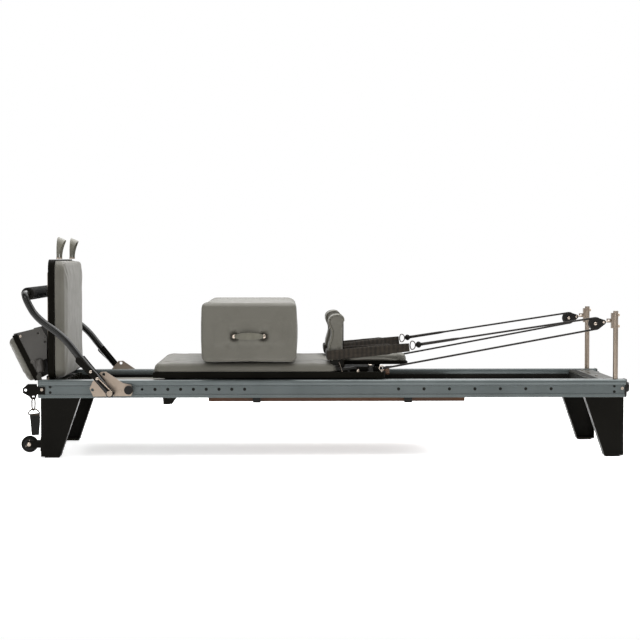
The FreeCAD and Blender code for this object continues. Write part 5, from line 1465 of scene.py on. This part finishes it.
@dataclass
class PulleyBlocks:
    """The egg-shaped cheeks round each sheave and the shackle that holds them to the post."""

    wheel: tuple = (1030.0, 522.0, 25.5)
    nose: tuple = (1063.0, 528.0, 9.5)
    plane: float = 307.5
    cheek_in: float = 6.6  # from the sheave's plane to the cheeks' inner and outer faces
    cheek_out: float = 10.6
    shackle: tuple = (1078.0, 531.0)

    def outline(self, inset: float) -> Outline:
        """The hull of the two circles, drawn in by an inset in mm."""
        (ax, az, ar), (bx, bz, br) = self.wheel, self.nose
        ar, br = ar - inset, br - inset
        lean = math.atan2(bz - az, bx - ax)
        open_angle = math.acos((ar - br) / math.hypot(bx - ax, bz - az))
        points = []
        for x, z, r, first, turn, steps in (
                (ax, az, ar, lean + open_angle, 2 * math.pi - 2 * open_angle, 28),
                (bx, bz, br, lean - open_angle, 2 * open_angle, 12)):
            for k in range(steps + 1):
                a = first + turn * k / steps
                points.append((x + r * math.cos(a), z + r * math.sin(a)))
        return points

    def cheek(self, y_in: float, y_out: float) -> Shape:
        """One bevelled cheek with a sunk panel between two places across the machine."""
        step = math.copysign(1.0, y_out - y_in)
        levels = [(y_in, 0.8), (y_in + step * 0.6, 0.0), (y_out - step * 1.2, 0.0), (y_out, 1.4),
                  (y_out, 4.2), (y_out - step * 1.3, 5.2)]
        return skin([[at(x, y, z) for x, z in self.outline(inset)] for y, inset in levels])

    def build(self) -> None:
        """Build both blocks."""
        for label, side in SIDES.items():
            y = side * self.plane
            block = new_piece(f"pulley_cheeks_{label}", joined(
                self.cheek(y - self.cheek_in, y - self.cheek_out),
                self.cheek(y + self.cheek_in, y + self.cheek_out)), BLACK_ABS, "frame")
            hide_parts("pulley_blocks")
            x, z, _ = self.nose
            new_piece(f"pulley_rivet_{label}", turned(
                [(-0.0122, 0.0030), (-0.0112, 0.0042), (0.0112, 0.0042), (0.0122, 0.0030)],
                at(x, y, z), Y_AXIS, 20), BRIGHT, "frame")
            x, z = self.shackle
            link = [at(x + 15 * math.cos(a), y + 4.5 * math.sin(a), z + 2.4 * math.cos(a))
                    for a in around(36)]
            new_piece(f"pulley_shackle_{label}", swept(link, wire(0.0021), Z_AXIS, closed=True), BRIGHT,
                      "frame")


@dataclass
class FrameTrim:
    """Small parts that finish the frame: grommets, rail beads, dark strips on the rails and the head beam
    that paint the shade there, the beam's buffer strip and the platform's trim.
    """

    hole_z: float = 267.0
    web_y: float = 324.4
    slider_holes: int = 12
    covered_holes: int = 4  # by the slider plates
    head_holes: int = 7
    slider_first: float = -897.0
    slider_pitch: float = 50.0
    head_first: float = 256.0
    head_pitch: float = 100.0
    end_x: float = 1105.0
    rail_half: float = 1149.0
    beam_half: float = 0.282
    platform_y: float = 268.4

    def grommets(self) -> None:
        """Black grommets in the web's holes."""
        spots = [(self.slider_first + self.slider_pitch * k, self.hole_z, 6.2)
                 for k in range(self.covered_holes, self.slider_holes)]
        spots += [(self.head_first + self.head_pitch * k, self.hole_z, 6.2)
                  for k in range(self.head_holes)]
        spots += [(sign * self.end_x, self.hole_z - 1 + up * 11, 5.4)
                  for sign in (-1, 1) for up in (-1, 1)]
        for label, side in SIDES.items():
            parts = [turned([(-0.003, (r - 3.4) * MM), (0.0, (r - 3.0) * MM), (0.0, r * MM),
                             (-0.0003, r * MM)], at(x, side * self.web_y, z), Y_AXIS * side, 20)
                     for x, z, r in spots]
            new_piece(f"web_grommets_{label}", joined(*parts), RUBBER, "frame")

    def rails(self) -> None:
        """The rails' half-round beads, dark strips on their inner faces that paint the shade there, and the
        riser-end caps.
        """
        for label, side in SIDES.items():
            up = Z_AXIS * -side
            for name, half, y, z, section, across, finish in (
                    ("rail_bead", self.rail_half, 326.0, 292.0, half_round(0.0118, 0.0095, 14), up,
                     RAIL_PAINT),
                    # a dark rubber strip on each rail's inner face: painted shade of the web under the lip
                    ("rail_shade_strip", self.rail_half - 3, 284.4, 269.5, strip(0.027, 0.0012), Z_AXIS,
                     RUBBER),
                    ("rail_lip", self.rail_half, 285.2, 293.6, half_round(0.0098, 0.0017, 10), -up,
                     RAIL_PAINT)):
                bar(f"{name}_{label}", (at(-half, side * y, z), at(half, side * y, z)), section, across,
                    finish, "frame")
            cap = [at(x, side * 307.4, 269) for x in (1146, 1147, 1151, 1153.6)]
            new_piece(f"rail_cap_{label}", swept(
                cap, lambda t: band(0.0724 - 0.002 * (t > 0.9), 0.0474 - 0.002 * (t > 0.9), 32, 9), Z_AXIS),
                BLACK_ABS, "frame")

    def beam_strips(self) -> None:
        """A black sheet behind the head beam's inner edge, painted shade of the face under the beam's top
        edge, and a buffer strip on its top.
        """
        low, high = span("head_crossmember")
        height = high.z - low.z - 0.006
        # the black sheet over the beam's inner face is painted shade
        for name, x, z, section, across in (
                ("shade_sheet", low.x - 0.0009, low.z + height / 2, strip(height, 0.0012), Z_AXIS),
                ("buffer", low.x + 0.0145, high.z + 0.0004, strip(0.028, 0.0022), X_AXIS)):
            bar(f"head_beam_{name}", (Vector((x, -self.beam_half, z)), Vector((x, self.beam_half, z))),
                section, across, RUBBER, "frame")

    def brace_ends(self) -> None:
        """Folded plates that close the cross brace's channel."""
        low, high = span("cross_brace")
        outline = [(low.x + 0.001, high.z), (high.x - 0.001, high.z),
                   (high.x - 0.0235, low.z + 0.0006), (low.x + 0.0025, low.z + 0.0006)]
        faces = [[0, 1, 2, 3], [7, 6, 5, 4]]
        faces += [[k, k + 4, (k + 1) % 4 + 4, (k + 1) % 4] for k in range(4)]
        for label, side in SIDES.items():
            y = low.y if side < 0 else high.y
            vertices = [Vector((x, y - side * d, z)) for d in (0.0008, 0.0035) for x, z in outline]
            new_piece(f"brace_end_{label}", (vertices, faces), BLACK_STEEL, "frame")

    def platform(self) -> None:
        """The platform board's black edging, its bolts and plugs, bumper and slot."""
        along = Vector((-math.sin(PLATFORM_LEAN), 0, math.cos(PLATFORM_LEAN)))
        through = Vector((math.cos(PLATFORM_LEAN), 0, math.sin(PLATFORM_LEAN)))
        for label, side in SIDES.items():
            out = Y_AXIS * side
            corner = at(-1172, side * 267.6, 297) + through * 0.010
            bar(f"platform_edging_{label}", (corner + along * 0.002, corner + along * 0.196),
                strip(0.021, 0.0028, 12, 5), through, BLACK_BOARD, "foot_platform", 12)
            for name, spots, radius, finish in (
                    ("bolt", ((-1228, 473), (-1155, 336)), 0.0055, BRIGHT),
                    ("plug", ((-1160, 484), (-1133, 450)), 0.0042, BLACK_ABS)):
                for number, (x, z) in enumerate(spots):
                    bolt(f"platform_{name}_{label}_{number + 1}", at(x, side * self.platform_y, z), out,
                         radius, "foot_platform", finish)
            new_piece(f"platform_bumper_{label}", turned(
                [(0, 0.008), (0.003, 0.0145), (0.009, 0.0175), (0.047, 0.0175), (0.053, 0.0145),
                 (0.056, 0.008)], at(-1150, side * 262, 329), Z_AXIS - X_AXIS * 0.12, 28), GREY_STEEL,
                "foot_platform")
            bar(f"platform_slot_{label}", (at(-1224, side * 266.6, 428), at(-1226, side * 266.6, 440)),
                strip(0.009, 0.002, 12, 5), X_AXIS, RUBBER, "foot_platform", 2)

    def build(self) -> None:
        """Fit the trim."""
        self.grommets()
        self.rails()
        self.beam_strips()
        self.brace_ends()
        self.platform()


class Metalwork:
    """Finishes of the CAD's own solids."""

    finishes: dict = {
        RAIL_PAINT: ("near_rail", "far_rail"),
        TRACK_METAL: ("carriage_tracks",),
        CHARCOAL_STEEL: ("head_crossmember", "foot_crossmember"),
        GREY_STEEL: ("platform_side_plates",),
        BLACK_STEEL: ("cross_brace", "foot_legs", "head_legs", "spring_bar", "end_brackets",
                      "footbar_latches", "wheel_brackets", "shoulder_plates", "spring_anchor",
                      "wheel_hangers"),
        STAINLESS: ("riser_posts", "footbar_plates", "post_eyes", "jump_board_posts"),
        BRIGHT: ("frame_bolts",),
        BLACK_ABS: ("rail_end_caps", "lower_board_clips", "sheave_near",
                    "sheave_far", "post_knob_near", "post_knob_far", "plunger_near", "plunger_far",
                    "carriage_wheels_foot", "carriage_wheels_head"),
        COPPER_NYLON: ("star_knob",),
        RUBBER: ("foot_pads", "transport_wheel_near", "transport_wheel_far"),
        LAMINATE: ("deck_board",),
        WALNUT: ("lower_board",),
        BLACK_BOARD: ("jump_board", "carriage_base", "platform_board", "headrest_board"),
    }

    def build(self) -> None:
        """Dress every CAD node that stays visible."""
        for finish, nodes in self.finishes.items():
            finish.dress(*nodes)
        log.info("metalwork dressed")


def main() -> None:
    """Build the studio and the machine's pieces in order."""
    logging.basicConfig(level=logging.INFO, format="%(name)s: %(message)s")
    for part in (Studio(), Ropes(), RopeHardware(), Springs(), Metalwork(), Carriage(), FootEnd(),
                 FootBar(), PulleyBlocks(), FrameTrim(), Hardware()):
        part.build()


if __name__ == "__main__":
    main()
